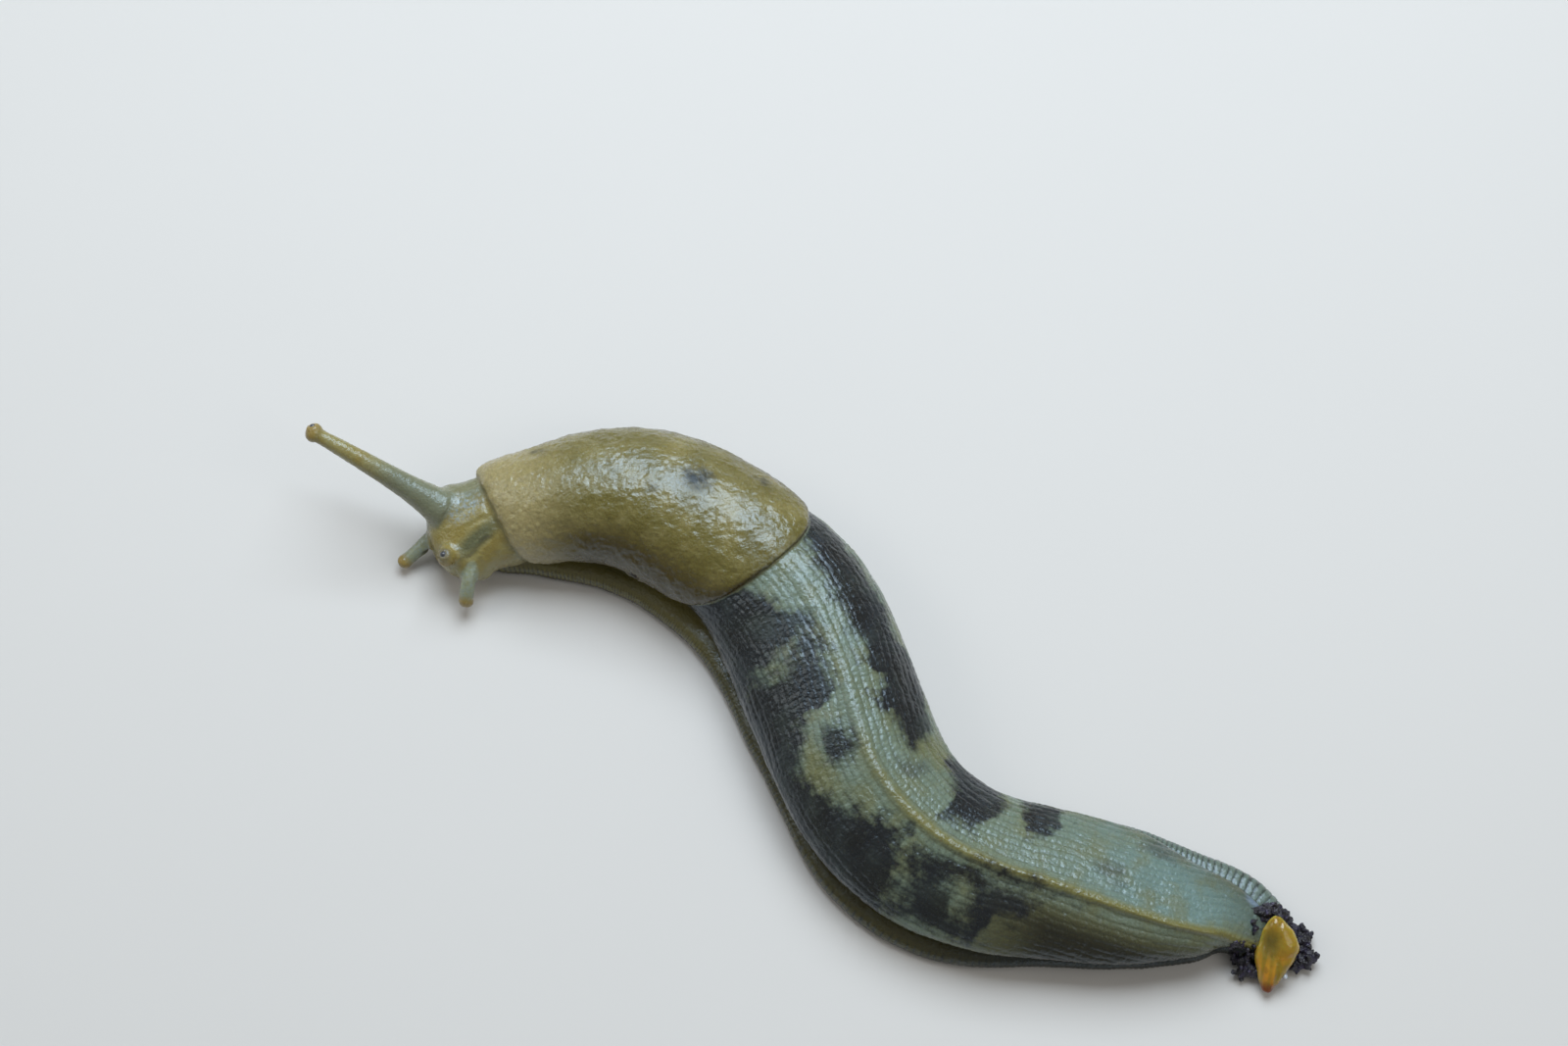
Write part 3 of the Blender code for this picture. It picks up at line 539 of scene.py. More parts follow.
def regrow(mesh, cell):
    """A mesh's outer surface again, in even cells of this size."""
    forms = bpy.data.objects.new("forms", mesh)
    bpy.context.scene.collection.objects.link(forms)
    remesh = forms.modifiers.new("grow", "REMESH")
    remesh.mode = "VOXEL"
    remesh.voxel_size = cell
    remesh.adaptivity = 0.0
    grown = bpy.data.meshes.new_from_object(forms.evaluated_get(bpy.context.evaluated_depsgraph_get()))
    bpy.data.objects.remove(forms)
    return grown


def grow_together(form, cell):
    """One closed mesh round all the forms, in cells of this size, and the forms' own triangles."""
    mesh = bpy.data.meshes.new("forms")
    mesh.from_pydata(np.concatenate(form.points).tolist(), [], form.faces)
    shape = bmesh.new()
    shape.from_mesh(mesh)
    bmesh.ops.recalc_face_normals(shape, faces=shape.faces)
    bmesh.ops.triangulate(shape, faces=shape.faces)
    shape.to_mesh(mesh)
    shape.free()
    corners = np.zeros(len(mesh.polygons) * 3, int)
    mesh.polygons.foreach_get("vertices", corners)
    return regrow(mesh, cell), mesh, corners.reshape(-1, 3)


def points_of(mesh):
    values = np.zeros(len(mesh.vertices) * 3)
    mesh.vertices.foreach_get("co", values)
    return values.reshape(-1, 3)


def normals_of(mesh):
    values = np.zeros(len(mesh.vertices) * 3, np.float32)
    mesh.vertex_normals.foreach_get("vector", values)
    return values.reshape(-1, 3).astype(float)


def edges_of(mesh):
    values = np.zeros(len(mesh.edges) * 2, int)
    mesh.edges.foreach_get("vertices", values)
    return values.reshape(-1, 2)


class Smoother:
    """Averages values over each point's neighbours."""

    def __init__(self, mesh):
        edges = edges_of(mesh)
        self.from_points = np.concatenate([edges[:, 0], edges[:, 1]])
        self.to_points = np.concatenate([edges[:, 1], edges[:, 0]])
        self.count = len(mesh.vertices)
        self.degree = np.maximum(np.bincount(self.to_points, minlength=self.count), 1)

    def mean(self, values):
        picked = values[self.from_points]
        return np.bincount(self.to_points, weights=picked, minlength=self.count) / self.degree

    def smooth(self, values, rounds, share=0.5):
        if values.ndim == 2:
            return np.stack([self.smooth(values[:, i], rounds, share) for i in range(values.shape[1])], -1)
        for _ in range(rounds):
            values = values + share * (self.mean(values) - values)
        return values


def read_measures(form, source, triangles, points):
    """The measures of the nearest form at each point of the grown skin."""
    tree = BVHTree.FromPolygons([vertex.co for vertex in source.vertices], triangles.tolist())
    hits = [tree.find_nearest(point) for point in points.tolist()]
    index = np.array([hit[2] for hit in hits])
    place_hit = np.array([tuple(hit[0]) for hit in hits])
    corners = points_of(source)[triangles[index]]
    first, second = corners[:, 1] - corners[:, 0], corners[:, 2] - corners[:, 0]
    offset = place_hit - corners[:, 0]
    d00, d01, d11 = (first * first).sum(1), (first * second).sum(1), (second * second).sum(1)
    d20, d21 = (offset * first).sum(1), (offset * second).sum(1)
    scale = np.maximum(d00 * d11 - d01 * d01, 1e-12)
    v = np.clip((d11 * d20 - d01 * d21) / scale, 0.0, 1.0)
    w = np.clip((d00 * d21 - d01 * d20) / scale, 0.0, 1.0)
    weights = np.stack([1.0 - v - w, v, w], -1)
    table = np.concatenate(form.measures)[triangles[index]]
    values = (table * weights[..., None]).sum(1)
    return {name: values[:, i] for i, name in enumerate(Form.MEASURES)}


# Surface relief, in millimetres: rows along the body, the beads in them, and the lumps of other skin
ROW_PITCH = 0.93
ROW_DEPTH = 0.06
BEAD_LENGTH = 0.72
BEAD_DEPTH = 0.055
MANTLE_LUMPS = ((0.46, 0.055), (1.0, 0.05), (5.0, 0.10))
HEAD_LUMPS = ((0.45, 0.018), (0.95, 0.03))
NECK_LUMPS = ((0.55, 0.03), (1.1, 0.07))
FEELER_LUMPS = ((0.40, 0.016),)
FINE_GRAIN = (0.32, 0.018)
FRINGE_PITCH = 0.58
FRINGE_DEPTH = 0.05
TAIL_FRINGE_DEPTH = 0.07
EYELID_RISE = 0.12
EYELID_REACH = 0.6
EYELID_WIDTH = 0.2
MOUTH_SPOT = (0.2, 0.0, 2.25)
MOUTH_HALF_WIDTH = 1.5

# Folds of the neck and cheek as (along, side) of both ends, width and depth
FOLDS = (
    ((2.8, -3.8), (7.0, -2.7), 0.28, 0.16),
    ((3.6, -0.4), (7.6, -1.0), 0.30, 0.07),
    ((3.2, 1.4), (7.8, 0.9), 0.26, 0.06),
    ((5.0, 3.2), (8.2, 2.6), 0.30, 0.08),
    ((7.1, 4.6), (7.6, -4.4), 0.30, 0.09),
)
SHRUNKEN_STALK = (((5.0, -2.3), 3.3, 0.95, 12.0),)

# Dark bands in lengths along and round the back (right positive): along, inner edge, outer edge
FLANK_BAND_LEFT = (
    (37.0, -6.3, -20.0),
    (45.0, -5.3, -20.0),
    (47.5, -4.0, -20.0),
    (49.4, -3.2, -20.0),
    (50.3, -1.2, -20.0),
    (55.2, -1.0, -20.0),
    (56.0, -2.2, -20.0),
    (57.0, -1.6, -20.0),
    (60.7, -1.7, -20.0),
    (61.5, -5.2, -20.0),
    (63.0, -5.8, -20.0),
    (64.6, -7.9, -20.0),
    (66.0, -8.2, -20.0),
    (70.0, -6.2, -20.0),
    (72.0, -5.5, -20.0),
    (74.2, -4.1, -20.0),
    (75.0, -1.9, -20.0),
    (78.2, -1.8, -20.0),
    (79.0, -4.6, -12.0),
    (80.3, -2.3, -11.0),
    (84.0, -1.9, -10.6),
    (87.0, -1.9, -9.8),
    (88.6, -2.0, -5.6),
    (92.0, -2.8, -4.2),
)
STRIPE_RIGHT = (
    (37.0, 5.6, 9.2),
    (42.5, 4.0, 9.2),
    (46.5, 2.8, 9.0),
    (51.0, 2.2, 8.8),
    (56.0, 2.0, 8.8),
    (59.3, 2.1, 9.6),
    (60.1, 4.4, 11.0),
    (61.1, 4.4, 11.0),
    (61.7, 2.1, 11.0),
    (63.3, 2.1, 11.0),
    (64.2, 3.9, 10.6),
    (67.0, 4.6, 9.6),
    (70.0, 5.4, 7.0),
)
PATCH_RIGHT = (
    (73.0, 8.6, 12.5),
    (76.0, 7.4, 12.5),
    (79.2, 5.5, 12.5),
    (79.7, 3.0, 12.5),
    (81.2, 2.7, 12.2),
    (83.6, 3.4, 12.0),
    (84.7, 4.8, 11.2),
    (85.4, 6.6, 10.4),
    (87.0, 8.3, 9.6),
)
REAR_PATCH_RIGHT = (
    (89.3, 9.4, 11.8),
    (90.0, 5.3, 11.8),
    (92.8, 5.3, 11.7),
    (94.3, 9.4, 11.2),
)
DARK_BANDS = (FLANK_BAND_LEFT, STRIPE_RIGHT, PATCH_RIGHT, REAR_PATCH_RIGHT)

# Dark spots and light gaps: middle, half length, half width, turn in degrees
DARK_SPOTS = (
    ((66.1, -3.1), 2.2, 1.9, 0.0),
    ((89.2, -1.2), 4.3, 0.75, 0.0),
)
LIGHT_GAPS = (
    ((55.0, -7.0), 0.65, 1.5, 0.0),
    ((53.6, -4.9), 0.4, 0.8, 25.0),
    ((79.4, -5.9), 0.4, 1.5, 10.0),
    ((85.0, -5.3), 1.0, 1.2, 20.0),
)
FAINT_PATCHES = (
    ((56.0, -5.2), 2.6, 1.4, 0.0),
    ((100.0, 4.2), 1.7, 1.1, 0.0),
    ((105.5, 9.4), 2.2, 1.2, 0.0),
    ((88.8, -6.6), 2.2, 2.6, 0.0),
    ((72.0, 4.0), 2.0, 1.0, 30.0),
)
YELLOW_PATCHES = (
    ((57.5, -0.4), 2.0, 0.7, 0.0),
    ((71.5, 8.4), 3.2, 2.4, 0.0),
    ((66.8, -6.6), 2.6, 1.0, 0.0),
    ((98.0, -6.4), 9.0, 2.2, 0.0),
)
MANTLE_SPOTS = (
    ((31.5, 2.0), 1.5, 1.3, 10.0),
    ((36.2, 6.4), 0.4, 0.3, 0.0),
    ((27.0, -1.2), 0.28, 0.25, 0.0),
    ((14.2, 4.4), 0.35, 0.2, 0.0),
)
# Painted reflections, a blue-white sheen near the tail's end and on the head's top: middle, half length, half
# width, turn
TAIL_SHEEN = (((115.8, 2.6), 1.3, 0.9, 20.0),)
HEAD_SHEEN = (((4.8, 1.6), 2.2, 1.5, 0.0),)
MARKING_WARPS = ((2.8, 0.9), (1.0, 0.6))


def ellipse_field(along, arc, patches):
    """How far inside the nearest patch each place is, in millimetres: above 0 inside, below 0 outside."""
    field = np.full(len(along), -FAR_REACH)
    for (middle, round_to), half_length, half_width, turn in patches:
        cosine, sine = math.cos(math.radians(turn)), math.sin(math.radians(turn))
        ahead, over = along - middle, arc - round_to
        u = (ahead * cosine + over * sine) / half_length
        v = (over * cosine - ahead * sine) / half_width
        size = np.maximum((np.abs(u) ** 2.4 + np.abs(v) ** 2.4) ** (1.0 / 2.4), 1e-6)
        field = np.maximum(field, (1.0 - size) * min(half_length, half_width))
    return field


def band_field(along, arc, rows):
    """How far inside a band each place is, in millimetres: above 0 inside, below 0 outside."""
    rows = np.array(rows)
    inner = np.interp(along, rows[:, 0], rows[:, 1])
    outer = np.interp(along, rows[:, 0], rows[:, 2])
    low, high = np.minimum(inner, outer), np.maximum(inner, outer)
    ends = np.minimum(along - rows[0, 0], rows[-1, 0] - along)
    return np.minimum(np.minimum(high - arc, arc - low), ends)


def warped(points, along, arc):
    """The same places pushed about, so that patches get ragged edges."""
    for index, (size, push) in enumerate(MARKING_WARPS):
        along = along + push * noise(points, size, 31 + index)
        arc = arc + push * noise(points, size, 41 + index)
    return along, arc


def slug_measures(points):
    """Length along and side of places near the slug, from the crawl line."""
    fine = np.arange(-8.0, LINE_LENGTH - 1.0, 0.1)
    line = place(fine, 0.0, 0.0)[:, :2]
    along = np.zeros(len(points))
    for start in range(0, len(points), 4000):
        chunk = points[start : start + 4000, :2]
        apart = (chunk**2).sum(1)[:, None] - 2.0 * chunk @ line.T + (line**2).sum(1)[None]
        along[start : start + 4000] = fine[np.argmin(apart, axis=1)]
    angle = heading(along)
    base = place(along, 0.0, 0.0)
    offset = points[:, :2] - base[:, :2]
    along = along + offset[:, 0] * np.cos(angle) + offset[:, 1] * np.sin(angle)
    side = -offset[:, 0] * np.sin(angle) + offset[:, 1] * np.cos(angle)
    return along, side


def feeler_turns(points, measures):
    """The turn round its own axis of each point on a tentacle, and which tentacle it is on."""
    turn = np.zeros(len(points))
    which = np.round(measures["which"]).astype(int)
    for number, name in enumerate(TENTACLES, start=1):
        chosen = which == number
        centres, _, _, side_way, up_way, _ = feeler_path(name)
        offset = points[chosen] - centres[0]
        turn[chosen] = np.arctan2(offset @ up_way, offset @ side_way)
    return turn, which


def rows_of_beads(points, along, arc):
    """The skin's lengthwise rows: each place's height across its row, and along its bead."""
    sway = 0.30 * noise(np.stack([along / 5.0, arc / 1.9], -1), 1.0, 3) + 0.12 * noise(points, 1.1, 4)
    lane = (arc + sway) / ROW_PITCH
    row = np.floor(lane)
    over = 2.0 * (lane - row) - 1.0
    start = hashed(np.stack([row, 0.0 * row], -1), 5)
    wander = 0.7 * noise(np.stack([along / 1.9, row * 3.7], -1), 1.0, 6)
    step = along / BEAD_LENGTH + 3.0 * start + wander
    bead = np.floor(step)
    ahead = 2.0 * (step - bead) - 1.0
    size = hashed(np.stack([row, bead], -1), 8)
    return 1.0 - np.abs(over) ** 3, (1.0 - ahead**4) * (0.7 + 0.6 * size)


def lumps(points, sizes, seed):
    """Soft lumps of several sizes, each with its own height."""
    return sum(height * noise(points, size, seed + index) for index, (size, height) in enumerate(sizes))


def fold_lines(along, side):
    """Creases between two places of the slug, each with a swollen lip beside it."""
    rise = np.zeros(len(along))
    for (start_along, start_side), (end_along, end_side), width, depth in FOLDS:
        run = np.array((end_along - start_along, end_side - start_side))
        length = np.linalg.norm(run)
        run = run / length
        ahead = (along - start_along) * run[0] + (side - start_side) * run[1]
        over = (side - start_side) * run[0] - (along - start_along) * run[1]
        over = over + 0.5 * width * np.sin(ahead * 1.7)
        share = smooth_step(ahead / 0.8) * smooth_step((length - ahead) / 0.8)
        rise -= share * depth * np.exp(-((over / width) ** 2))
        rise += share * depth * 0.5 * np.exp(-(((over - 1.7 * width) / width) ** 2))
    return rise


def relief(points, measures, weights):
    """How far the skin stands out at each point, and the grain's own height from 0 in cracks to 1."""
    along, side, arc = measures["along"], measures["side"], measures["arc"]
    mantle, head, foot, feeler = (weights[name] for name in ("mantle", "head", "foot", "feeler"))
    ridge, bead = rows_of_beads(points, along, arc)
    rowed = smooth_step((along - 8.0) / 6.0) * (1.0 - mantle) * (1.0 - foot) * (1.0 - feeler)
    depth = rowed * (0.8 + 0.35 * noise(points, 5.0, 7))
    tail_share = smooth_step((along - 85.0) / 18.0)
    rise = depth * ROW_DEPTH * (1.0 + 0.5 * tail_share) * (ridge - 0.6)
    rise += depth * BEAD_DEPTH * (1.0 - 0.25 * tail_share) * (bead - 0.7) * ridge
    grain = 1.0 + rowed * (0.35 + 0.65 * ridge * np.clip(0.45 + 0.6 * bead, 0.0, 1.0) - 1.0)

    front = smooth_step((14.0 - along) / 4.0) * (1.0 - mantle) * (1.0 - foot) * (1.0 - feeler)
    face = smooth_step((5.5 - along) / 4.0)
    rise += front * (1.0 - face) * lumps(points, NECK_LUMPS, 61)
    rise += front * face * lumps(points, HEAD_LUMPS, 63)
    rise += front * fold_lines(along, side)
    rise += mantle * lumps(points, MANTLE_LUMPS, 65)
    tip = smooth_step((1.2 - measures["reach"]) / 0.8) * feeler
    rise += feeler * (1.0 - tip) * lumps(points, FEELER_LUMPS, 68)
    rise += 0.06 * rowed * noise(points, 2.4, 14) + 0.028 * rowed * noise(points, 0.42, 16)
    rise += FINE_GRAIN[1] * (1.0 - tip) * noise(points, FINE_GRAIN[0], 15)

    for name in EYE_LEANS:
        apart = np.linalg.norm(points - eye_middle(name)[0], axis=1)
        rise += EYELID_RISE * np.exp(-(((apart - EYELID_REACH) / EYELID_WIDTH) ** 2))

    edge = measures["edge"]
    wander = 0.15 * noise(points, 1.7, 9)
    comb = 0.5 + 0.5 * np.cos(2.0 * math.pi * (along + wander) / FRINGE_PITCH)
    to_tail = smooth_step((along - 90.0) / 14.0)
    band = smooth_step(edge / 0.1) * (smooth_step((0.75 - edge) / 0.2) * (1.0 - to_tail) + to_tail)
    rise -= band * foot * (FRINGE_DEPTH + (TAIL_FRINGE_DEPTH - FRINGE_DEPTH) * to_tail) * comb**4
    rise += 0.05 * foot * noise(points, 2.2, 10) + 0.02 * foot * noise(points, 0.6, 11)
    return rise, grain, band * comb**4


def openings(points, measures):
    """The breathing hole with its pale lip and folds, and the mouth between its lips."""
    along_hole, part_hole = BREATHING_HOLE
    lengthwise = (2.0 * along_hole - MANTLE_FRONT - MANTLE_REAR) / (MANTLE_REAR - MANTLE_FRONT)
    hole = mantle_point(abs(part_hole), -math.acos(lengthwise))
    apart = np.linalg.norm(points - hole, axis=1)
    rise = -0.95 * np.exp(-((apart / 0.5) ** 4))
    rise += 0.12 * np.exp(-(((apart - 0.95) / 0.28) ** 2))
    around = np.arctan2(points[:, 2] - hole[2], measures["along"] - along_hole)
    rise += 0.06 * np.cos(around * 7.0) * np.exp(-(((apart - 0.9) / 0.5) ** 2))
    # The hole's darkening: partly its own dark red, partly painted shade inside the opening
    hole_share = np.exp(-((apart / 0.62) ** 4))
    lip_share = np.exp(-(((apart - 1.0) / 0.45) ** 2))
    mouth = place(*MOUTH_SPOT)
    ahead = heading(0.0)
    across = (points[:, 0] - mouth[0]) * -math.sin(ahead) + (points[:, 1] - mouth[1]) * math.cos(ahead)
    out = np.abs((points[:, 0] - mouth[0]) * math.cos(ahead) + (points[:, 1] - mouth[1]) * math.sin(ahead))
    over = points[:, 2] - mouth[2] + 0.22 * (across / MOUTH_HALF_WIDTH) ** 2
    near = np.exp(-((out / 1.3) ** 4)) * np.exp(-((across / MOUTH_HALF_WIDTH) ** 6))
    slit = near * np.exp(-((over / 0.24) ** 2))
    down = np.exp(-((out / 1.3) ** 4)) * np.exp(-((across / 0.2) ** 2)) * (points[:, 2] < mouth[2])
    rise += -0.5 * slit - 0.4 * down
    rise += 0.14 * near * np.exp(-(((np.abs(over) - 0.55) / 0.3) ** 2))
    return rise, hole_share, lip_share, np.maximum(slit, down)


def skin_fields(points, normals, measures, weights, grain, comb, hole, lip, mouth):
    """The soft fields that the skin's material turns into colours, painted shade and glints among them."""
    along, arc, side = measures["along"], measures["arc"], measures["side"]
    moved_along, moved_arc = warped(points, along, arc)
    dark = ellipse_field(moved_along, moved_arc, DARK_SPOTS)
    for band in DARK_BANDS:
        dark = np.maximum(dark, band_field(moved_along, moved_arc, band))
    light = ellipse_field(moved_along, moved_arc, LIGHT_GAPS)
    marks = np.minimum(np.minimum(dark, 1.6), -0.8 * light)
    bare = np.clip(weights["mantle"] + weights["head"] + weights["feeler"] + weights["foot"], 0.0, 1.0)
    marks = marks - 6.0 * bare
    spots = ellipse_field(*warped_spots(points, along, side), MANTLE_SPOTS)
    marks = np.maximum(marks, spots - 6.0 * (1.0 - weights["mantle"]))
    faint = np.clip(ellipse_field(moved_along, moved_arc, FAINT_PATCHES) + 0.5, 0.0, 1.0)
    yellow = np.clip(ellipse_field(moved_along, moved_arc, YELLOW_PATCHES) * 0.6 + 0.4, 0.0, 1.0)
    # Darker towards the floor: partly the flank's own browner lower skin, partly painted shade
    low = smooth_step((6.5 - points[:, 2]) / 4.0)
    keel_line = np.exp(-((arc / 0.72) ** 2)) * smooth_step((along - 60.0) / 14.0)
    keel_line *= (1.0 - bare) * np.clip(0.55 + 0.5 * noise(points, 2.2, 56) + smooth_step((along - 74.0) / 6.0), 0.0, 1.0)
    # The tail's left side: its own darker olive, then painted shade growing brown towards the lower edge
    tail_olive_and_shade = smooth_step((-arc - 0.2) / 5.2) * smooth_step((along - 82.0) / 12.0) * (1.0 - weights["mantle"])
    # Painted shadow on the foot's left side towards the tail, under the body
    sole_shadow = smooth_step((along - 80.0) / 12.0) * smooth_step(-side)
    tail_teal = smooth_step((along - 88.0) / 22.0) * smooth_step((arc + 0.2) / 0.8)
    # Painted reflection: a blue sheen near the tail's end
    sheen = np.clip(ellipse_field(along, side, TAIL_SHEEN) * 2.0 + 0.5, 0.0, 1.0) * (points[:, 2] > 2.0)
    reach, feeler = measures["reach"], weights["feeler"]
    tip = smooth_step((1.9 - reach) / 1.4) * feeler
    left_eye = eye_middle("upper_left")[0]
    below_eye = smooth_step((left_eye[2] + 0.1 - points[:, 2]) / 0.9)
    tip *= np.where(np.round(measures["which"]) == 2, 0.15 + 0.85 * below_eye, 1.0)
    cap = np.exp(-((np.linalg.norm(points - left_eye, axis=1) / 0.8) ** 3)) * (1.0 - 0.6 * below_eye)
    on_head = np.maximum(weights["head"], feeler) * (1.0 - weights["mantle"])
    # The stalk base's clear grey-blue is its own; weighting it towards upward faces is painted light from above
    upward = 0.65 + 0.35 * normals[:, 2]
    clear = upward * feeler * smooth_step((reach - 6.0) / 6.0) * np.where(measures["which"] < 1.5, 1.0, 0.0)
    front = smooth_step((along + 1.0) / 1.0) * smooth_step((9.0 - along) / 2.0) * (1.0 - feeler)
    clear += 0.7 * front * smooth_step((side - 0.5) / 2.5)
    ghost = np.clip(ellipse_field(along, side, SHRUNKEN_STALK) * 1.3 + 0.35, 0.0, 1.0)
    ghost *= (points[:, 2] > 4.0) * (1.0 - feeler)
    # Bluish tint of the dark marks, partly at random and stronger on upward faces: painted sky reflection
    blue = smooth_step((noise(points, 3.5, 55) + 0.5 + 0.5 * normals[:, 2]) / 1.4)
    under_shade = smooth_step((0.75 - normals[:, 2]) / 0.6)
    near_shade = smooth_step((0.985 - normals[:, 2]) / 0.42) * smooth_step((0.5 - side) / 2.5)
    under_shade = np.maximum(under_shade, near_shade * weights["mantle"])
    # Painted glints and sheen across the mantle's crown
    crown_glints = np.exp(-(((side - 0.9) / 2.6) ** 2)) * smooth_step((along - 12.0) / 6.0) * weights["mantle"]
    crown_glints *= smooth_step(0.75 + 0.8 * noise(points, 3.4, 57))
    # Painted glints on the head's top
    brow_glints = np.clip(ellipse_field(along, side, HEAD_SHEEN) + 0.5, 0.0, 1.0) * (points[:, 2] > 4.0)
    return {
        "marks": marks,
        "faint": faint * (1.0 - bare),
        "yellow": yellow * (1.0 - bare),
        "low": low,
        "keel": keel_line,
        "tip": tip,
        "clear": np.clip(clear, 0.0, 1.0) * (1.0 - weights["mantle"]),
        "ghost": ghost * (1.0 - weights["mantle"]),
        "grain": grain,
        "comb": comb * weights["foot"],
        "mantle": weights["mantle"],
        "head": on_head,
        "foot": weights["foot"],
        "neck": smooth_step((13.0 - along) / 5.0) * (1.0 - weights["mantle"]),
        "edge": measures["edge"] + (1.0 - weights["foot"]),
        "teal": smooth_step((along - 92.0) / 12.0) * (side > 0.0),
        "blue": blue,
        "shade": under_shade,
        "hole": np.maximum(hole, mouth),
        "lip": lip,
        "front": smooth_step((20.0 - along) / 11.0),
        "tail_olive_and_shade": tail_olive_and_shade,
        "tail_teal": tail_teal,
        "sole_shadow": sole_shadow,
        "foot_front": smooth_step((52.0 - along) / 12.0),
        "pale": feeler * smooth_step((reach - 0.8) / 1.0) * np.where(measures["which"] > 2.5, 1.0, 0.0),
        "sheen": sheen,
        "crown_glints": crown_glints,
        "brow_glints": brow_glints * (1.0 - weights["mantle"]) * (1.0 - feeler),
        "cap": cap,
        "feeler": feeler * smooth_step((reach - 1.0) / 1.5),
    }


def warped_spots(points, along, side):
    return along + 0.25 * noise(points, 0.8, 51), side + 0.25 * noise(points, 0.8, 52)


def give_fields(mesh, fields):
    for name, values in fields.items():
        layer = mesh.attributes.new(name, "FLOAT", "POINT")
        layer.data.foreach_set("value", np.asarray(values, np.float32))


def give_map(mesh, points, normals, measures, weights):
    """The OFBake map: top and sole seen flat, flanks unrolled, tentacles each in their own strip."""
    count = len(mesh.loops)
    corner_points = np.zeros(count, int)
    mesh.loops.foreach_get("vertex_index", corner_points)
    starts = np.zeros(len(mesh.polygons), int)
    sizes = np.zeros(len(mesh.polygons), int)
    mesh.polygons.foreach_get("loop_start", starts)
    mesh.polygons.foreach_get("loop_total", sizes)
    owner = np.repeat(np.arange(len(starts)), sizes)
    order = np.argsort(starts, kind="stable")
    owner = np.repeat(order, sizes[order])

    def face_mean(values):
        return np.bincount(owner, weights=values[corner_points], minlength=len(starts)) / sizes

    angle = heading(measures["along"])
    ahead = normals[:, 0] * np.cos(angle) + normals[:, 1] * np.sin(angle)
    right = -normals[:, 0] * np.sin(angle) + normals[:, 1] * np.cos(angle)
    n_ahead, n_right, n_up = face_mean(ahead), face_mean(right), face_mean(normals[:, 2])
    on_feeler = face_mean(weights["feeler"]) > 0.5
    flank = (np.abs(n_right) >= np.abs(n_ahead)) & (np.abs(n_right) > np.abs(n_up))
    end = (np.abs(n_ahead) > np.abs(n_right)) & (np.abs(n_ahead) > np.abs(n_up))
    x, y, z = points.T
    along, side = measures["along"], measures["side"]
    low_x, low_y = x.min(), y.min()
    u, v = (x - low_x)[corner_points], (y - low_y)[corner_points]
    is_bottom = (n_up < 0.0)[owner]
    v = v + np.where(is_bottom, MAP_ROWS[0], 0.0)
    is_flank = flank[owner]
    row = np.where((n_right > 0.0)[owner], MAP_ROWS[1], MAP_ROWS[2])
    u = np.where(is_flank, along[corner_points] + 4.0, u)
    v = np.where(is_flank, z[corner_points] + row, v)
    is_end = end[owner]
    row = np.where((n_ahead > 0.0)[owner], 0.0, 24.0)
    u = np.where(is_end, side[corner_points] + 12.0 + MAP_END_COLUMN + row, u)
    v = np.where(is_end, z[corner_points] + MAP_ROWS[3], v)
    which = np.round(measures["which"])
    turn = measures["turn"][corner_points]
    face_turn = turn[starts][owner]
    turn = np.where(turn - face_turn > math.pi, turn - 2.0 * math.pi, turn)
    turn = np.where(turn - face_turn < -math.pi, turn + 2.0 * math.pi, turn)
    is_feeler = on_feeler[owner]
    feeler_row = np.round(face_mean(which))[owner] * 8.0 + MAP_FEELER_ROW
    u = np.where(is_feeler, measures["reach"][corner_points] + MAP_FEELER_COLUMN, u)
    v = np.where(is_feeler, turn * 0.8 + feeler_row, v)
    layer = mesh.uv_layers.new(name="OFBake")
    layer.data.foreach_set("uv", (np.stack([u, v], -1) / MAP_SIZE).astype(np.float32).ravel())


MAP_ROWS = (70.0, 140.0, 156.0, 172.0)
MAP_SIZE = 190.0
MAP_END_COLUMN = 0.0
MAP_FEELER_COLUMN = 130.0
MAP_FEELER_ROW = 4.0


def add_node(tree, kind, inputs=(), **settings):
    """Adds a node, sets its options, and fills its inputs with values or with other nodes' outputs."""
    node = tree.nodes.new(kind)
    for name, value in settings.items():
        setattr(node, name, value)
    for key, value in dict(inputs).items():
        if isinstance(value, bpy.types.NodeSocket):
            tree.links.new(value, node.inputs[key])
        else:
            node.inputs[key].default_value = value
    return node


def calculate(tree, operation, first, second=0.0, clamp=False):
    node = add_node(tree, "ShaderNodeMath", {0: first, 1: second}, operation=operation, use_clamp=clamp)
    return node.outputs[0]


def blend(tree, share, first, second, mode="MIX"):
    """Mixes two colours by a share from 0 to 1."""
    inputs = {0: share, 6: first, 7: second}
    node = add_node(tree, "ShaderNodeMix", inputs, data_type="RGBA", blend_type=mode)
    return node.outputs[2]


def ease(tree, value, low, high):
    """0 below low, 1 above high, and smooth between."""
    inputs = {"Value": value, "From Min": low, "From Max": high}
    node = add_node(tree, "ShaderNodeMapRange", inputs, interpolation_type="SMOOTHSTEP")
    return node.outputs["Result"]


def field(tree, name):
    return add_node(tree, "ShaderNodeAttribute", attribute_name=name).outputs["Fac"]


def speckle(tree, size, detail=2.0, roughness=0.5):
    """Soft noise from 0 to 1 with lumps of this size in millimetres."""
    spot = add_node(tree, "ShaderNodeTexCoord").outputs["Object"]
    inputs = {"Vector": spot, "Scale": 1000.0 / size, "Detail": detail, "Roughness": roughness}
    return add_node(tree, "ShaderNodeTexNoise", inputs).outputs["Fac"]


def shade(red, green, blue):
    return (red, green, blue, 1.0)


def start_group(name, inputs, outputs):
    """A node group with named number inputs (with their values) and named outputs."""
    tree = bpy.data.node_groups.new(name, "ShaderNodeTree")
    for label, value in inputs.items():
        socket = tree.interface.new_socket(label, in_out="INPUT", socket_type="NodeSocketFloat")
        socket.default_value = value
    for label, kind in outputs.items():
        tree.interface.new_socket(label, in_out="OUTPUT", socket_type=kind)
    return tree, tree.nodes.new("NodeGroupInput"), tree.nodes.new("NodeGroupOutput")


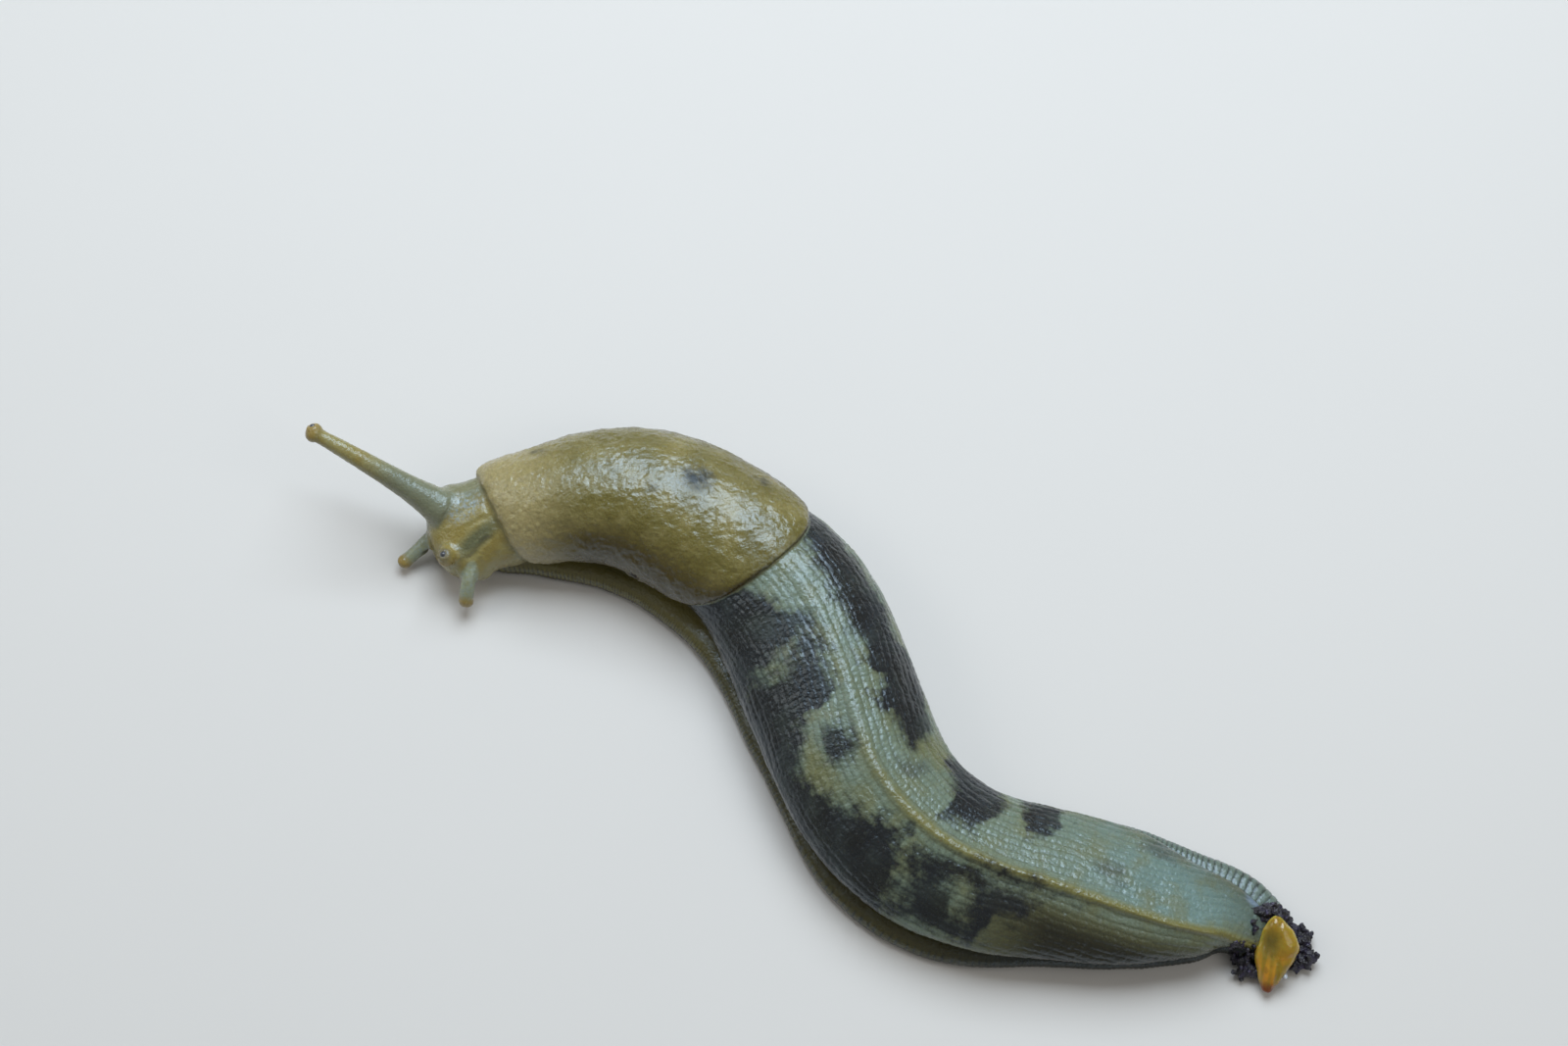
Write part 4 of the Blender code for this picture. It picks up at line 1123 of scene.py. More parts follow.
def make_wet_film():
    """Slime that lies unevenly: a mask of how wet each place is, a roughness and a fine height."""
    sizes = {"Pool Size": 2.4, "Grain Size": 0.28, "Wetness": 0.6}
    kinds = {"Wet": "NodeSocketFloat", "Roughness": "NodeSocketFloat", "Height": "NodeSocketFloat"}
    tree, start, end = start_group("wet_film", sizes, kinds)
    spot = add_node(tree, "ShaderNodeTexCoord").outputs["Object"]
    pool_scale = calculate(tree, "DIVIDE", 1000.0, start.outputs["Pool Size"])
    grain_scale = calculate(tree, "DIVIDE", 1000.0, start.outputs["Grain Size"])
    pools = add_node(tree, "ShaderNodeTexNoise", {"Vector": spot, "Scale": pool_scale, "Detail": 3.0})
    grains = add_node(tree, "ShaderNodeTexNoise", {"Vector": spot, "Scale": grain_scale, "Detail": 2.0})
    dryness = calculate(tree, "SUBTRACT", 1.0, start.outputs["Wetness"])
    wet = calculate(tree, "SUBTRACT", pools.outputs["Fac"], calculate(tree, "MULTIPLY", dryness, 0.6))
    wet = ease(tree, wet, 0.12, 0.42)
    roughness = calculate(tree, "MULTIPLY", wet, -0.14)
    roughness = calculate(tree, "ADD", roughness, 0.30)
    spread = calculate(tree, "MULTIPLY", grains.outputs["Fac"], 0.10)
    tree.links.new(calculate(tree, "MULTIPLY", wet, 0.42), end.inputs["Wet"])
    tree.links.new(calculate(tree, "ADD", roughness, spread), end.inputs["Roughness"])
    tree.links.new(grains.outputs["Fac"], end.inputs["Height"])
    return tree


def start_material(name, **settings):
    """A material with its Principled shader, whose plain numbers are set on its own sockets."""
    material = bpy.data.materials.new(name)
    material.use_nodes = True
    shader = material.node_tree.nodes["Principled BSDF"]
    for label, value in settings.items():
        shader.inputs[label.replace("_", " ").title().replace("Ior", "IOR")].default_value = value
    return material, material.node_tree, shader


def place_film(tree, film, shader, height, pool, grain, wetness, strength, extra=None, dull=None):
    """Puts the wet film in a material, over an added height in metres and less wet where it is dull."""
    group = add_node(tree, "ShaderNodeGroup", node_tree=film)
    group.inputs["Pool Size"].default_value = pool
    group.inputs["Grain Size"].default_value = grain
    group.inputs["Wetness"].default_value = wetness
    total = calculate(tree, "MULTIPLY", group.outputs["Height"], height)
    if extra is not None:
        total = calculate(tree, "ADD", total, extra)
    bump = add_node(tree, "ShaderNodeBump", {"Height": total, "Strength": strength, "Distance": 1.0})
    tree.links.new(bump.outputs["Normal"], shader.inputs["Normal"])
    roughness, wet = group.outputs["Roughness"], group.outputs["Wet"]
    if dull is not None:
        roughness = calculate(tree, "ADD", roughness, calculate(tree, "MULTIPLY", dull, 0.35))
        wet = calculate(tree, "MULTIPLY", wet, calculate(tree, "SUBTRACT", 1.0, dull))
    tree.links.new(roughness, shader.inputs["Roughness"])
    tree.links.new(wet, shader.inputs["Coat Weight"])
    return group


SAGE = shade(0.155, 0.198, 0.142)
# Painted shade in the grooves between the skin's beads
SAGE_GROOVE_SHADE = shade(0.066, 0.08, 0.042)
OLIVE_YELLOW = shade(0.145, 0.140, 0.045)
# The lower flank's own brown together with painted shade
LOW_FLANK_SHADE = shade(0.045, 0.040, 0.011)
# Painted shade on the tail's left side, near its lower edge
TAIL_SHADE_BROWN = shade(0.022, 0.018, 0.006)
TAIL_TEAL = shade(0.14, 0.225, 0.215)
# Painted reflection near the tail's end
SHEEN_BLUE = shade(0.17, 0.24, 0.34)
# Painted glints on the wet skin
WET_GLINT = shade(0.27, 0.34, 0.38)
CAP_GREY = shade(0.085, 0.080, 0.072)
MARK_BLACK = shade(0.0090, 0.0072, 0.0056)
MARK_BLUE_SHEEN = shade(0.013, 0.017, 0.028)
FAINT_GREY = shade(0.055, 0.065, 0.055)
KEEL_OCHRE = shade(0.18, 0.155, 0.026)
MANTLE_OLIVE = shade(0.152, 0.128, 0.028)
MANTLE_PALE = shade(0.235, 0.200, 0.066)
MANTLE_CREAM = shade(0.38, 0.32, 0.15)
# The mantle's dark brown for its small mottles and for its painted shade
MANTLE_MOTTLE_AND_SHADE = shade(0.056, 0.037, 0.002)
NECK_GREY = shade(0.265, 0.23, 0.085)
HEAD_AMBER = shade(0.24, 0.183, 0.04)
CLEAR_GREY = shade(0.14, 0.168, 0.125)
PALE_SHAFT = shade(0.250, 0.280, 0.175)
# Painted light at the tentacles' thin edges
EDGE_GLOW = shade(0.28, 0.27, 0.15)
GHOST_GREEN = shade(0.085, 0.095, 0.05)
TIP_AMBER = shade(0.275, 0.19, 0.045)
FRECKLE_BROWN = shade(0.034, 0.024, 0.003)
FOOT_TAN = shade(0.07, 0.06, 0.015)
FOOT_OLIVE = shade(0.140, 0.120, 0.032)
TAIL_OLIVE = shade(0.110, 0.110, 0.048)
FOOT_TEAL = shade(0.125, 0.165, 0.135)
# Painted shade on the foot's lowest edge, in its fringe's grooves and on its shadowed side
FOOT_FRINGE_SHADE = shade(0.010, 0.010, 0.005)
# Dark red of the openings together with painted shade inside them
HOLE_RED_SHADE = shade(0.03, 0.008, 0.006)
LIP_PALE = shade(0.15, 0.12, 0.045)


def make_skin(film):
    """The moist skin: its markings, painted shade and painted glints come from the mesh's soft fields and get their
    fine edges here.
    """
    material, tree, shader = start_material(
        "moist_skin", subsurface_weight=0.15, subsurface_scale=0.0010, coat_roughness=0.09, coat_ior=1.33
    )
    shader.inputs["Specular IOR Level"].default_value = 0.60
    shader.inputs["Specular Tint"].default_value = shade(0.66, 0.84, 1.0)
    shader.inputs["Subsurface Radius"].default_value = (1.0, 0.6, 0.3)
    grain = field(tree, "grain")
    broad = speckle(tree, 3.2, 3.0)
    fine = speckle(tree, 0.35, 3.0, 0.6)
    pepper = speckle(tree, 0.16, 2.0, 0.6)
    crack = calculate(tree, "SUBTRACT", 1.0, grain)

    # Painted shade: the sage skin darker in the grooves between the beads
    trunk = blend(tree, calculate(tree, "MULTIPLY", crack, 0.9), SAGE, SAGE_GROOVE_SHADE)
    trunk = blend(tree, calculate(tree, "MULTIPLY", field(tree, "tail_teal"), 0.7), trunk, TAIL_TEAL)
    trunk = blend(tree, calculate(tree, "MULTIPLY", field(tree, "yellow"), 0.65), trunk, OLIVE_YELLOW)
    patchy = calculate(tree, "MULTIPLY", ease(tree, broad, 0.42, 0.68), 0.5)
    trunk = blend(tree, patchy, trunk, OLIVE_YELLOW)
    # Lower flank darker: partly its own brown, partly painted shade
    trunk = blend(tree, calculate(tree, "MULTIPLY", field(tree, "low"), 0.75), trunk, LOW_FLANK_SHADE)
    trunk = blend(tree, calculate(tree, "MULTIPLY", field(tree, "faint"), 0.6), trunk, FAINT_GREY)
    # Tail's left side: its own olive, then painted shade darkening to brown at the lower edge
    tail_olive_and_shade = field(tree, "tail_olive_and_shade")
    trunk = blend(tree, calculate(tree, "MULTIPLY", tail_olive_and_shade, 1.6, clamp=True), trunk, TAIL_OLIVE)
    trunk = blend(tree, calculate(tree, "MULTIPLY", tail_olive_and_shade, tail_olive_and_shade), trunk, TAIL_SHADE_BROWN)
    trunk = blend(tree, calculate(tree, "MULTIPLY", field(tree, "keel"), 0.85), trunk, KEEL_OCHRE)
    # Painted reflection: blue sheen near the tail's end
    trunk = blend(tree, calculate(tree, "MULTIPLY", field(tree, "sheen"), 0.7), trunk, SHEEN_BLUE)

    amber_share = ease(tree, speckle(tree, 2.6, 3.0), 0.40, 0.62)
    flesh = blend(tree, calculate(tree, "MULTIPLY", amber_share, 0.75), NECK_GREY, HEAD_AMBER)
    flesh = blend(tree, calculate(tree, "MULTIPLY", field(tree, "clear"), 0.8), flesh, CLEAR_GREY)
    flesh = blend(tree, calculate(tree, "MULTIPLY", field(tree, "ghost"), 0.8), flesh, GHOST_GREEN)
    flesh = blend(tree, calculate(tree, "MULTIPLY", field(tree, "pale"), 0.85), flesh, PALE_SHAFT)
    # Painted light: the tentacles lighter where seen edge-on, as if lit through their thin skin
    facing = add_node(tree, "ShaderNodeLayerWeight", {"Blend": 0.45}).outputs["Facing"]
    edge_glow = calculate(tree, "MULTIPLY", calculate(tree, "MULTIPLY", facing, facing), field(tree, "feeler"))
    flesh = blend(tree, calculate(tree, "MULTIPLY", edge_glow, 0.7), flesh, EDGE_GLOW)
    flesh = blend(tree, calculate(tree, "MULTIPLY", field(tree, "tip"), 0.85), flesh, TIP_AMBER)
    flesh = blend(tree, calculate(tree, "MULTIPLY", field(tree, "cap"), 0.75), flesh, CAP_GREY)
    # Painted glints: on the lower tentacles' pale shafts and on the head's top
    glints = ease(tree, fine, 0.36, 0.72)
    shine = calculate(tree, "MULTIPLY", field(tree, "pale"), 0.4)
    shine = calculate(tree, "MAXIMUM", shine, calculate(tree, "MULTIPLY", field(tree, "brow_glints"), 0.75))
    flesh = blend(tree, calculate(tree, "MULTIPLY", glints, shine), flesh, WET_GLINT)
    flesh_share = calculate(tree, "MAXIMUM", field(tree, "neck"), field(tree, "head"))
    skin = blend(tree, flesh_share, trunk, flesh)

    cloak = blend(tree, ease(tree, broad, 0.35, 0.75), MANTLE_OLIVE, MANTLE_PALE)
    cloak = blend(tree, calculate(tree, "MULTIPLY", field(tree, "front"), 0.85), cloak, MANTLE_CREAM)
    # The mantle's dark brown: as small mottles, and as painted shade on its steep and down-facing sides and its
    # left side, less at the front
    cloak = blend(tree, calculate(tree, "MULTIPLY", ease(tree, fine, 0.62, 0.40), 0.2), cloak, MANTLE_MOTTLE_AND_SHADE)
    mantle_shade_share = calculate(tree, "SUBTRACT", 0.95, calculate(tree, "MULTIPLY", field(tree, "front"), 0.95))
    cloak = blend(tree, calculate(tree, "MULTIPLY", field(tree, "shade"), mantle_shade_share), cloak, MANTLE_MOTTLE_AND_SHADE)
    # Painted glints on the mantle's crown
    crown_glint_share = calculate(tree, "MULTIPLY", field(tree, "crown_glints"), calculate(tree, "MULTIPLY", glints, 0.35))
    cloak = blend(tree, crown_glint_share, cloak, WET_GLINT)
    skin = blend(tree, field(tree, "mantle"), skin, cloak)

    edge = field(tree, "edge")
    sole = blend(tree, field(tree, "foot_front"), FOOT_TAN, FOOT_OLIVE)
    sole = blend(tree, field(tree, "teal"), sole, FOOT_TEAL)
    # Painted shade on the foot: along its lowest edge, in the fringe's grooves, and on its left side towards the
    # tail
    sole = blend(tree, calculate(tree, "MULTIPLY", ease(tree, edge, 0.5, 0.3), 0.9), sole, FOOT_FRINGE_SHADE)
    sole = blend(tree, calculate(tree, "MULTIPLY", field(tree, "comb"), 0.8), sole, FOOT_FRINGE_SHADE)
    sole = blend(tree, calculate(tree, "MULTIPLY", field(tree, "sole_shadow"), 0.8), sole, FOOT_FRINGE_SHADE)
    skin = blend(tree, ease(tree, field(tree, "foot"), 0.3, 0.75), skin, sole)

    mottle = calculate(tree, "MULTIPLY", speckle(tree, 1.3, 3.0), 2.4)
    ragged = calculate(tree, "ADD", field(tree, "marks"), calculate(tree, "MULTIPLY", fine, 1.8))
    ragged = calculate(tree, "ADD", ragged, mottle)
    ragged = calculate(tree, "ADD", ragged, calculate(tree, "MULTIPLY", crack, 0.6))
    mark = ease(tree, ragged, 1.1, 3.5)
    # Dark marks, with a painted bluish reflection on their upward faces
    ink = blend(tree, calculate(tree, "MULTIPLY", field(tree, "blue"), 0.25), MARK_BLACK, MARK_BLUE_SHEEN)
    full = ease(tree, broad, 0.25, 0.6)
    full = calculate(tree, "ADD", calculate(tree, "MULTIPLY", full, 0.10), 0.88)
    skin = blend(tree, calculate(tree, "MULTIPLY", mark, full), skin, ink)

    freckle = calculate(tree, "MULTIPLY", ease(tree, pepper, 0.60, 0.72), 0.25)
    skin = blend(tree, freckle, skin, FRECKLE_BROWN)
    skin = blend(tree, calculate(tree, "MULTIPLY", field(tree, "lip"), 0.4), skin, LIP_PALE)
    # Breathing hole and mouth slit: their own dark red with painted shade inside
    skin = blend(tree, field(tree, "hole"), skin, HOLE_RED_SHADE)
    tree.links.new(skin, shader.inputs["Base Color"])

    small = calculate(tree, "MULTIPLY", pepper, 0.000012)
    dull = calculate(tree, "MULTIPLY", calculate(tree, "MULTIPLY", mark, field(tree, "mantle")), 0.9)
    place_film(tree, film, shader, 0.00008, 3.0, 0.28, 0.72, 1.0, extra=small, dull=dull)
    return material


def make_eye_material(film):
    material, tree, shader = start_material("eye_gloss", coat_roughness=0.03, coat_ior=1.4)
    spot = add_node(tree, "ShaderNodeAttribute", attribute_name="pupil").outputs["Fac"]
    rim = ease(tree, spot, 0.35, 0.75)
    colour = blend(tree, rim, shade(0.15, 0.14, 0.11), shade(0.018, 0.020, 0.026))
    clouded = calculate(tree, "MULTIPLY", speckle(tree, 0.35), 0.5)
    colour = blend(tree, clouded, colour, shade(0.17, 0.18, 0.19))
    tree.links.new(colour, shader.inputs["Base Color"])
    place_film(tree, film, shader, 0.000004, 0.6, 0.1, 1.0, 0.4)
    return material


def make_mucus_material(film):
    material, tree, shader = start_material(
        "amber_mucus", subsurface_weight=0.55, subsurface_scale=0.0025, coat_roughness=0.05, coat_ior=1.4
    )
    shader.inputs["Subsurface Radius"].default_value = (1.0, 0.45, 0.12)
    depth = field(tree, "drip")
    streak = ease(tree, field(tree, "streak"), -0.2, 0.5)
    lower = calculate(tree, "MULTIPLY", ease(tree, depth, 0.3, 0.7), streak)
    colour = blend(tree, lower, shade(0.29, 0.190, 0.012), shade(0.52, 0.25, 0.016))
    clouds = ease(tree, speckle(tree, 0.9, 3.0), 0.5, 0.72)
    colour = blend(tree, calculate(tree, "MULTIPLY", clouds, 0.45), colour, shade(0.13, 0.095, 0.015))
    # Painted shade in the plug's hollow
    colour = blend(tree, calculate(tree, "MULTIPLY", field(tree, "hollow"), 0.8), colour, shade(0.11, 0.082, 0.012))
    # Painted light: the plug's left and right edges lighter
    colour = blend(tree, calculate(tree, "MULTIPLY", field(tree, "rim"), 0.75), colour, shade(0.48, 0.36, 0.05))
    stained = calculate(tree, "MULTIPLY", ease(tree, depth, 0.80, 0.94), 0.9)
    colour = blend(tree, stained, colour, shade(0.13, 0.030, 0.010))
    tree.links.new(colour, shader.inputs["Base Color"])
    place_film(tree, film, shader, 0.00008, 1.6, 0.5, 0.95, 0.8)
    return material


def make_drop_material(film):
    material, tree, shader = start_material(
        "slime_drop", subsurface_weight=0.4, subsurface_scale=0.0008, coat_roughness=0.05, coat_ior=1.36
    )
    colour = blend(tree, speckle(tree, 0.3), shade(0.30, 0.38, 0.46), shade(0.62, 0.66, 0.68))
    tree.links.new(colour, shader.inputs["Base Color"])
    place_film(tree, film, shader, 0.00002, 0.5, 0.15, 1.0, 0.5)
    return material


def make_crumb_material(film):
    material, tree, shader = start_material("soil_crumbs", coat_roughness=0.2, coat_ior=1.36)
    clods = speckle(tree, 0.9, 3.0)
    colour = blend(tree, ease(tree, clods, 0.4, 0.7), shade(0.006, 0.005, 0.008), shade(0.020, 0.017, 0.040))
    # Painted sheen: violet glints on the wet crumbs
    violet_sheen = calculate(tree, "MULTIPLY", ease(tree, speckle(tree, 0.6, 2.0), 0.55, 0.7), 0.7)
    colour = blend(tree, violet_sheen, colour, shade(0.045, 0.035, 0.095))
    grit = calculate(tree, "MULTIPLY", ease(tree, speckle(tree, 0.18), 0.68, 0.74), 0.4)
    colour = blend(tree, grit, colour, shade(0.10, 0.08, 0.06))
    tree.links.new(colour, shader.inputs["Base Color"])
    place_film(tree, film, shader, 0.0002, 1.2, 0.22, 0.55, 1.0)
    return material


def make_floor_material():
    material, tree, shader = start_material("pale_floor", roughness=0.75)
    dust = calculate(tree, "MULTIPLY", speckle(tree, 30.0, 3.0), 0.15)
    colour = blend(tree, dust, shade(0.62, 0.61, 0.59), shade(0.56, 0.55, 0.53))
    tree.links.new(colour, shader.inputs["Base Color"])
    return material


def finish_mesh(name, mesh, points, offset, material, slot, *nodes):
    """Scales a mesh to metres, sets it in the frame, and lets it stand for its solids."""
    mesh.name = name
    mesh.vertices.foreach_set("co", ((points + offset) * MM).astype(np.float32).ravel())
    mesh.update()
    mesh.shade_smooth()
    mesh.materials.clear()
    mesh.materials.append(material)
    piece = bpy.data.objects.new(name, mesh)
    bpy.context.scene.collection.objects.link(piece)
    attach(piece, "root")
    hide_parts(*nodes)
    return piece


def build_skin(offset, material, nodes):
    form = Form()
    add_back(form)
    add_head(form)
    add_foot(form)
    add_mantle(form)
    add_feelers(form)
    mesh, source, triangles = grow_together(form, SKIN_CELL)
    points = points_of(mesh)
    measures = read_measures(form, source, triangles, points)
    smoother = Smoother(mesh)
    weights = {name: smoother.smooth(measures[name], 6) for name in ("mantle", "head", "foot", "feeler")}
    evened = smoother.smooth(points, 4)
    seam = weights["feeler"] * (1.0 - weights["feeler"])
    seam = np.clip(3.0 * smoother.smooth(np.where(seam > 0.05, 1.0, 0.0), 60), 0.0, 1.0)
    softened = smoother.smooth(evened, 110)
    points = evened + (softened - evened) * seam[:, None]
    points[:, 2] = np.maximum(points[:, 2], 0.0)
    mesh.vertices.foreach_set("co", points.astype(np.float32).ravel())
    mesh.update()
    normals = normals_of(mesh)
    measures["along"], measures["side"] = slug_measures(points)
    measures["turn"], measures["which"] = feeler_turns(points, measures)
    rise, grain, comb = relief(points, measures, weights)
    cut, hole, lip, mouth = openings(points, measures)
    flat = smooth_step((points[:, 2] - 0.05) / 0.5)
    moved = points + normals * ((rise + cut) * flat)[:, None]
    moved[:, 2] = np.maximum(moved[:, 2], 0.0)
    give_fields(mesh, skin_fields(points, normals, measures, weights, grain, comb, hole, lip, mouth))
    give_map(mesh, points, normals, measures, weights)
    return finish_mesh("moist_skin", mesh, moved, offset, material, "spotted_skin", *nodes)


SKIN_CELL = 0.15


def ring_mesh(name, rings, ends=True):
    """A closed tube of rings as a mesh, with a point at each end."""
    rows, count = rings.shape[:2]
    points = rings.reshape(-1, 3)
    index = np.arange(rows * count).reshape(rows, count)
    on = np.roll(index, -1, axis=1)
    faces = np.stack([index[:-1], on[:-1], on[1:], index[1:]], -1).reshape(-1, 4).tolist()
    points = np.concatenate([points, rings[:1].mean(1), rings[-1:].mean(1)])
    first, last = rows * count, rows * count + 1
    faces += [[index[0, i], first, on[0, i]] for i in range(count)]
    faces += [[index[-1, i], on[-1, i], last] for i in range(count)]
    mesh = bpy.data.meshes.new(name)
    mesh.from_pydata(points.tolist(), [], faces)
    shape = bmesh.new()
    shape.from_mesh(mesh)
    bmesh.ops.recalc_face_normals(shape, faces=shape.faces)
    shape.to_mesh(mesh)
    shape.free()
    layer = mesh.uv_layers.new(name="OFBake")
    corner = np.zeros(len(mesh.loops), int)
    mesh.loops.foreach_get("vertex_index", corner)
    column = np.concatenate([np.tile(np.arange(count) / count, rows), [0.5, 0.5]])
    row = np.concatenate([np.repeat(np.arange(rows) / (rows - 1.0), count), [0.0, 1.0]])
    u, v = column[corner], row[corner]
    sizes = np.zeros(len(mesh.polygons), int)
    mesh.polygons.foreach_get("loop_total", sizes)
    owner = np.repeat(np.arange(len(sizes)), sizes)
    widest = np.zeros(len(sizes))
    np.maximum.at(widest, owner, u)
    u = np.where((widest[owner] > 0.7) & (u < 0.3), u + 1.0, u)
    layer.data.foreach_set("uv", np.stack([u * 0.45, v * 0.95], -1).astype(np.float32).ravel())
    return mesh, points


def build_eye(name, offset, material):
    """A glossy ball with a slightly bulging clear front, set in the tentacle's tip."""
    centre, look = eye_middle(name)
    side_way = np.cross(look, (0.0, 0.0, 1.0))
    side_way /= np.linalg.norm(side_way)
    over = np.cross(side_way, look)
    slant = np.linspace(0.06, math.pi - 0.06, 40)
    turns = np.linspace(0.0, 2.0 * math.pi, 56, endpoint=False)
    radius = EYE_RADIUS * (1.0 + 0.07 * np.exp(-((slant / 0.6) ** 2)))
    flat = (np.cos(turns)[:, None] * side_way + np.sin(turns)[:, None] * over)[None]
    rings = np.cos(slant)[:, None, None] * look + np.sin(slant)[:, None, None] * flat
    rings = centre + rings * radius[:, None, None]
    mesh, points = ring_mesh(name, rings)
    pupil = np.concatenate([np.repeat(1.0 - slant / math.pi, len(turns)), [1.0, 0.0]])
    give_fields(mesh, {"pupil": pupil})
    node = name.replace("upper_", "eye_")
    return finish_mesh(node + "_ball", mesh, points, offset, material, "eye", node)


# The plug of thick mucus at the tail's end, as in the part's source
PLUG_TOP = np.array((54.2, -49.2, 4.3))
PLUG_TIP = np.array((53.2, -55.7, 1.0))
PLUG_STRETCH = (-0.10, 1.06)
PLUG_WIDTHS = (
    (0.00, 0.25, 0.25, 0.25),
    (0.03, 0.62, 0.70, 0.55),
    (0.08, 0.95, 1.15, 0.85),
    (0.16, 1.28, 1.95, 1.15),
    (0.28, 1.55, 2.55, 1.35),
    (0.38, 1.75, 2.85, 1.40),
    (0.52, 1.95, 2.45, 1.35),
    (0.70, 1.50, 1.85, 1.10),
    (0.84, 1.05, 1.25, 0.80),
    (0.92, 0.78, 0.75, 0.62),
    (0.98, 0.50, 0.50, 0.45),
    (1.00, 0.20, 0.20, 0.20),
)
PLUG_HOLLOW = (0.36, 0.22, -0.5, 1.1, 0.75)
PLUG_STREAKS = (0.42, 2.6, 0.07)
BEAD_SHARE = 0.78
BEAD_OUT = 1.75
BEAD_RADIUS = 0.36


def plug_axes():
    way = (PLUG_TIP - PLUG_TOP) / np.linalg.norm(PLUG_TIP - PLUG_TOP)
    side_way = np.cross((0.0, 0.0, 1.0), way)
    side_way /= np.linalg.norm(side_way)
    return way, side_way, np.cross(way, side_way)


def build_plug(offset, material):
    """The plug like a small shell: wide shoulders, a hollow front, streaks, and a narrow stained tip."""
    way, side_way, up_way = plug_axes()
    share = 0.5 - 0.5 * np.cos(np.linspace(0.02, 0.98, 150) * math.pi)
    turns = np.linspace(0.0, 2.0 * math.pi, 160, endpoint=False)
    left, right, deep = read_table(PLUG_WIDTHS, share)
    over, up = np.cos(turns)[None], np.sin(turns)[None]
    across = over * np.where(over > 0.0, right[:, None], left[:, None])
    rise = up * deep[:, None]
    middle, length, aside, width, depth = PLUG_HOLLOW
    hollow = np.exp(-(((share[:, None] - middle) / length) ** 2) - ((across - aside) / width) ** 2)
    hollow = hollow * np.clip(2.0 * up, 0.0, 1.0)
    fine, long, high = PLUG_STREAKS
    spots = np.stack([across / fine, np.broadcast_to(share[:, None] * 7.0 / long, across.shape)], -1)
    streak = noise(spots.reshape(-1, 2), 1.0, 83).reshape(across.shape)
    rise = rise - depth * hollow + high * streak * (up > 0.0) * np.abs(up)
    run = PLUG_STRETCH[0] + (PLUG_STRETCH[1] - PLUG_STRETCH[0]) * share
    centre = PLUG_TOP + (PLUG_TIP - PLUG_TOP) * run[:, None]
    rings = centre[:, None] + across[..., None] * side_way + rise[..., None] * up_way
    mesh, points = ring_mesh("amber_plug", rings)
    out = points - (PLUG_TOP + PLUG_TIP) / 2.0
    out /= np.linalg.norm(out, axis=1, keepdims=True)
    points = points + out * (0.13 * noise(points, 1.3, 81) + 0.05 * noise(points, 0.5, 82))[:, None]
    points[:, 2] = np.maximum(points[:, 2], 0.02)
    fields = {
        "drip": np.concatenate([np.repeat(share, len(turns)), [0.0, 1.0]]),
        # The hollow field also carries painted shade
        "hollow": np.concatenate([hollow.ravel(), [0.0, 0.0]]),
        "streak": np.concatenate([streak.ravel(), [0.0, 0.0]]),
        # Painted light along the plug's left and right edges
        "rim": np.concatenate([(np.abs(over) ** 6 * np.ones((len(share), 1))).ravel(), [0.0, 0.0]]),
    }
    give_fields(mesh, fields)
    return finish_mesh("amber_plug", mesh, points, offset, material, "amber_mucus", "tail_mucus_plug")


def build_bead(offset, material):
    """A small clear drop beside the plug's tip."""
    way, side_way, up_way = plug_axes()
    centre = PLUG_TOP + (PLUG_TIP - PLUG_TOP) * BEAD_SHARE + side_way * BEAD_OUT
    slant = np.linspace(0.1, math.pi - 0.1, 24)
    turns = np.linspace(0.0, 2.0 * math.pi, 36, endpoint=False)
    flat = np.cos(turns)[:, None] * side_way + np.sin(turns)[:, None] * way
    rings = np.cos(slant)[:, None, None] * up_way + np.sin(slant)[:, None, None] * flat[None]
    mesh, points = ring_mesh("slime_drop", centre + rings * BEAD_RADIUS)
    points = points + (points - centre) * (0.12 * noise(points, 0.4, 85))[:, None]
    return finish_mesh("slime_drop", mesh, points, offset, material, "amber_mucus")


# Soil crumbs in two arcs round the plug, drawn as in the part's source
CRUMB_CENTRE = (53.9, -51.4)
CRUMB_REACH = (3.9, 3.5)
CRUMB_ARCS = {"tail_crumbs_right": (-38.0, 114.0, 24), "tail_crumbs_left": (176.0, 228.0, 10)}
CRUMB_RADII = (0.6, 1.1)
CRUMB_SPREAD = (-0.6, 0.5)
CRUMB_LIFT = (1.02, 1.25)
CRUMB_CLIMB = (45.0, 75.0)
CRUMB_SEED = 7
CRUMB_CELL = 0.11
CRUMB_BITS = 5
CRUMB_BIT_RADII = (0.22, 0.42)

# A trail of bits up the plug's left side: share of the way, then its place
CRUMB_TRAIL = (
    (0.0, 50.0, -54.2, 0.9),
    (0.35, 50.8, -52.8, 2.2),
    (0.7, 51.4, -51.1, 3.7),
    (1.0, 52.2, -49.2, 4.5),
)
CRUMB_TRAIL_COUNT = 34


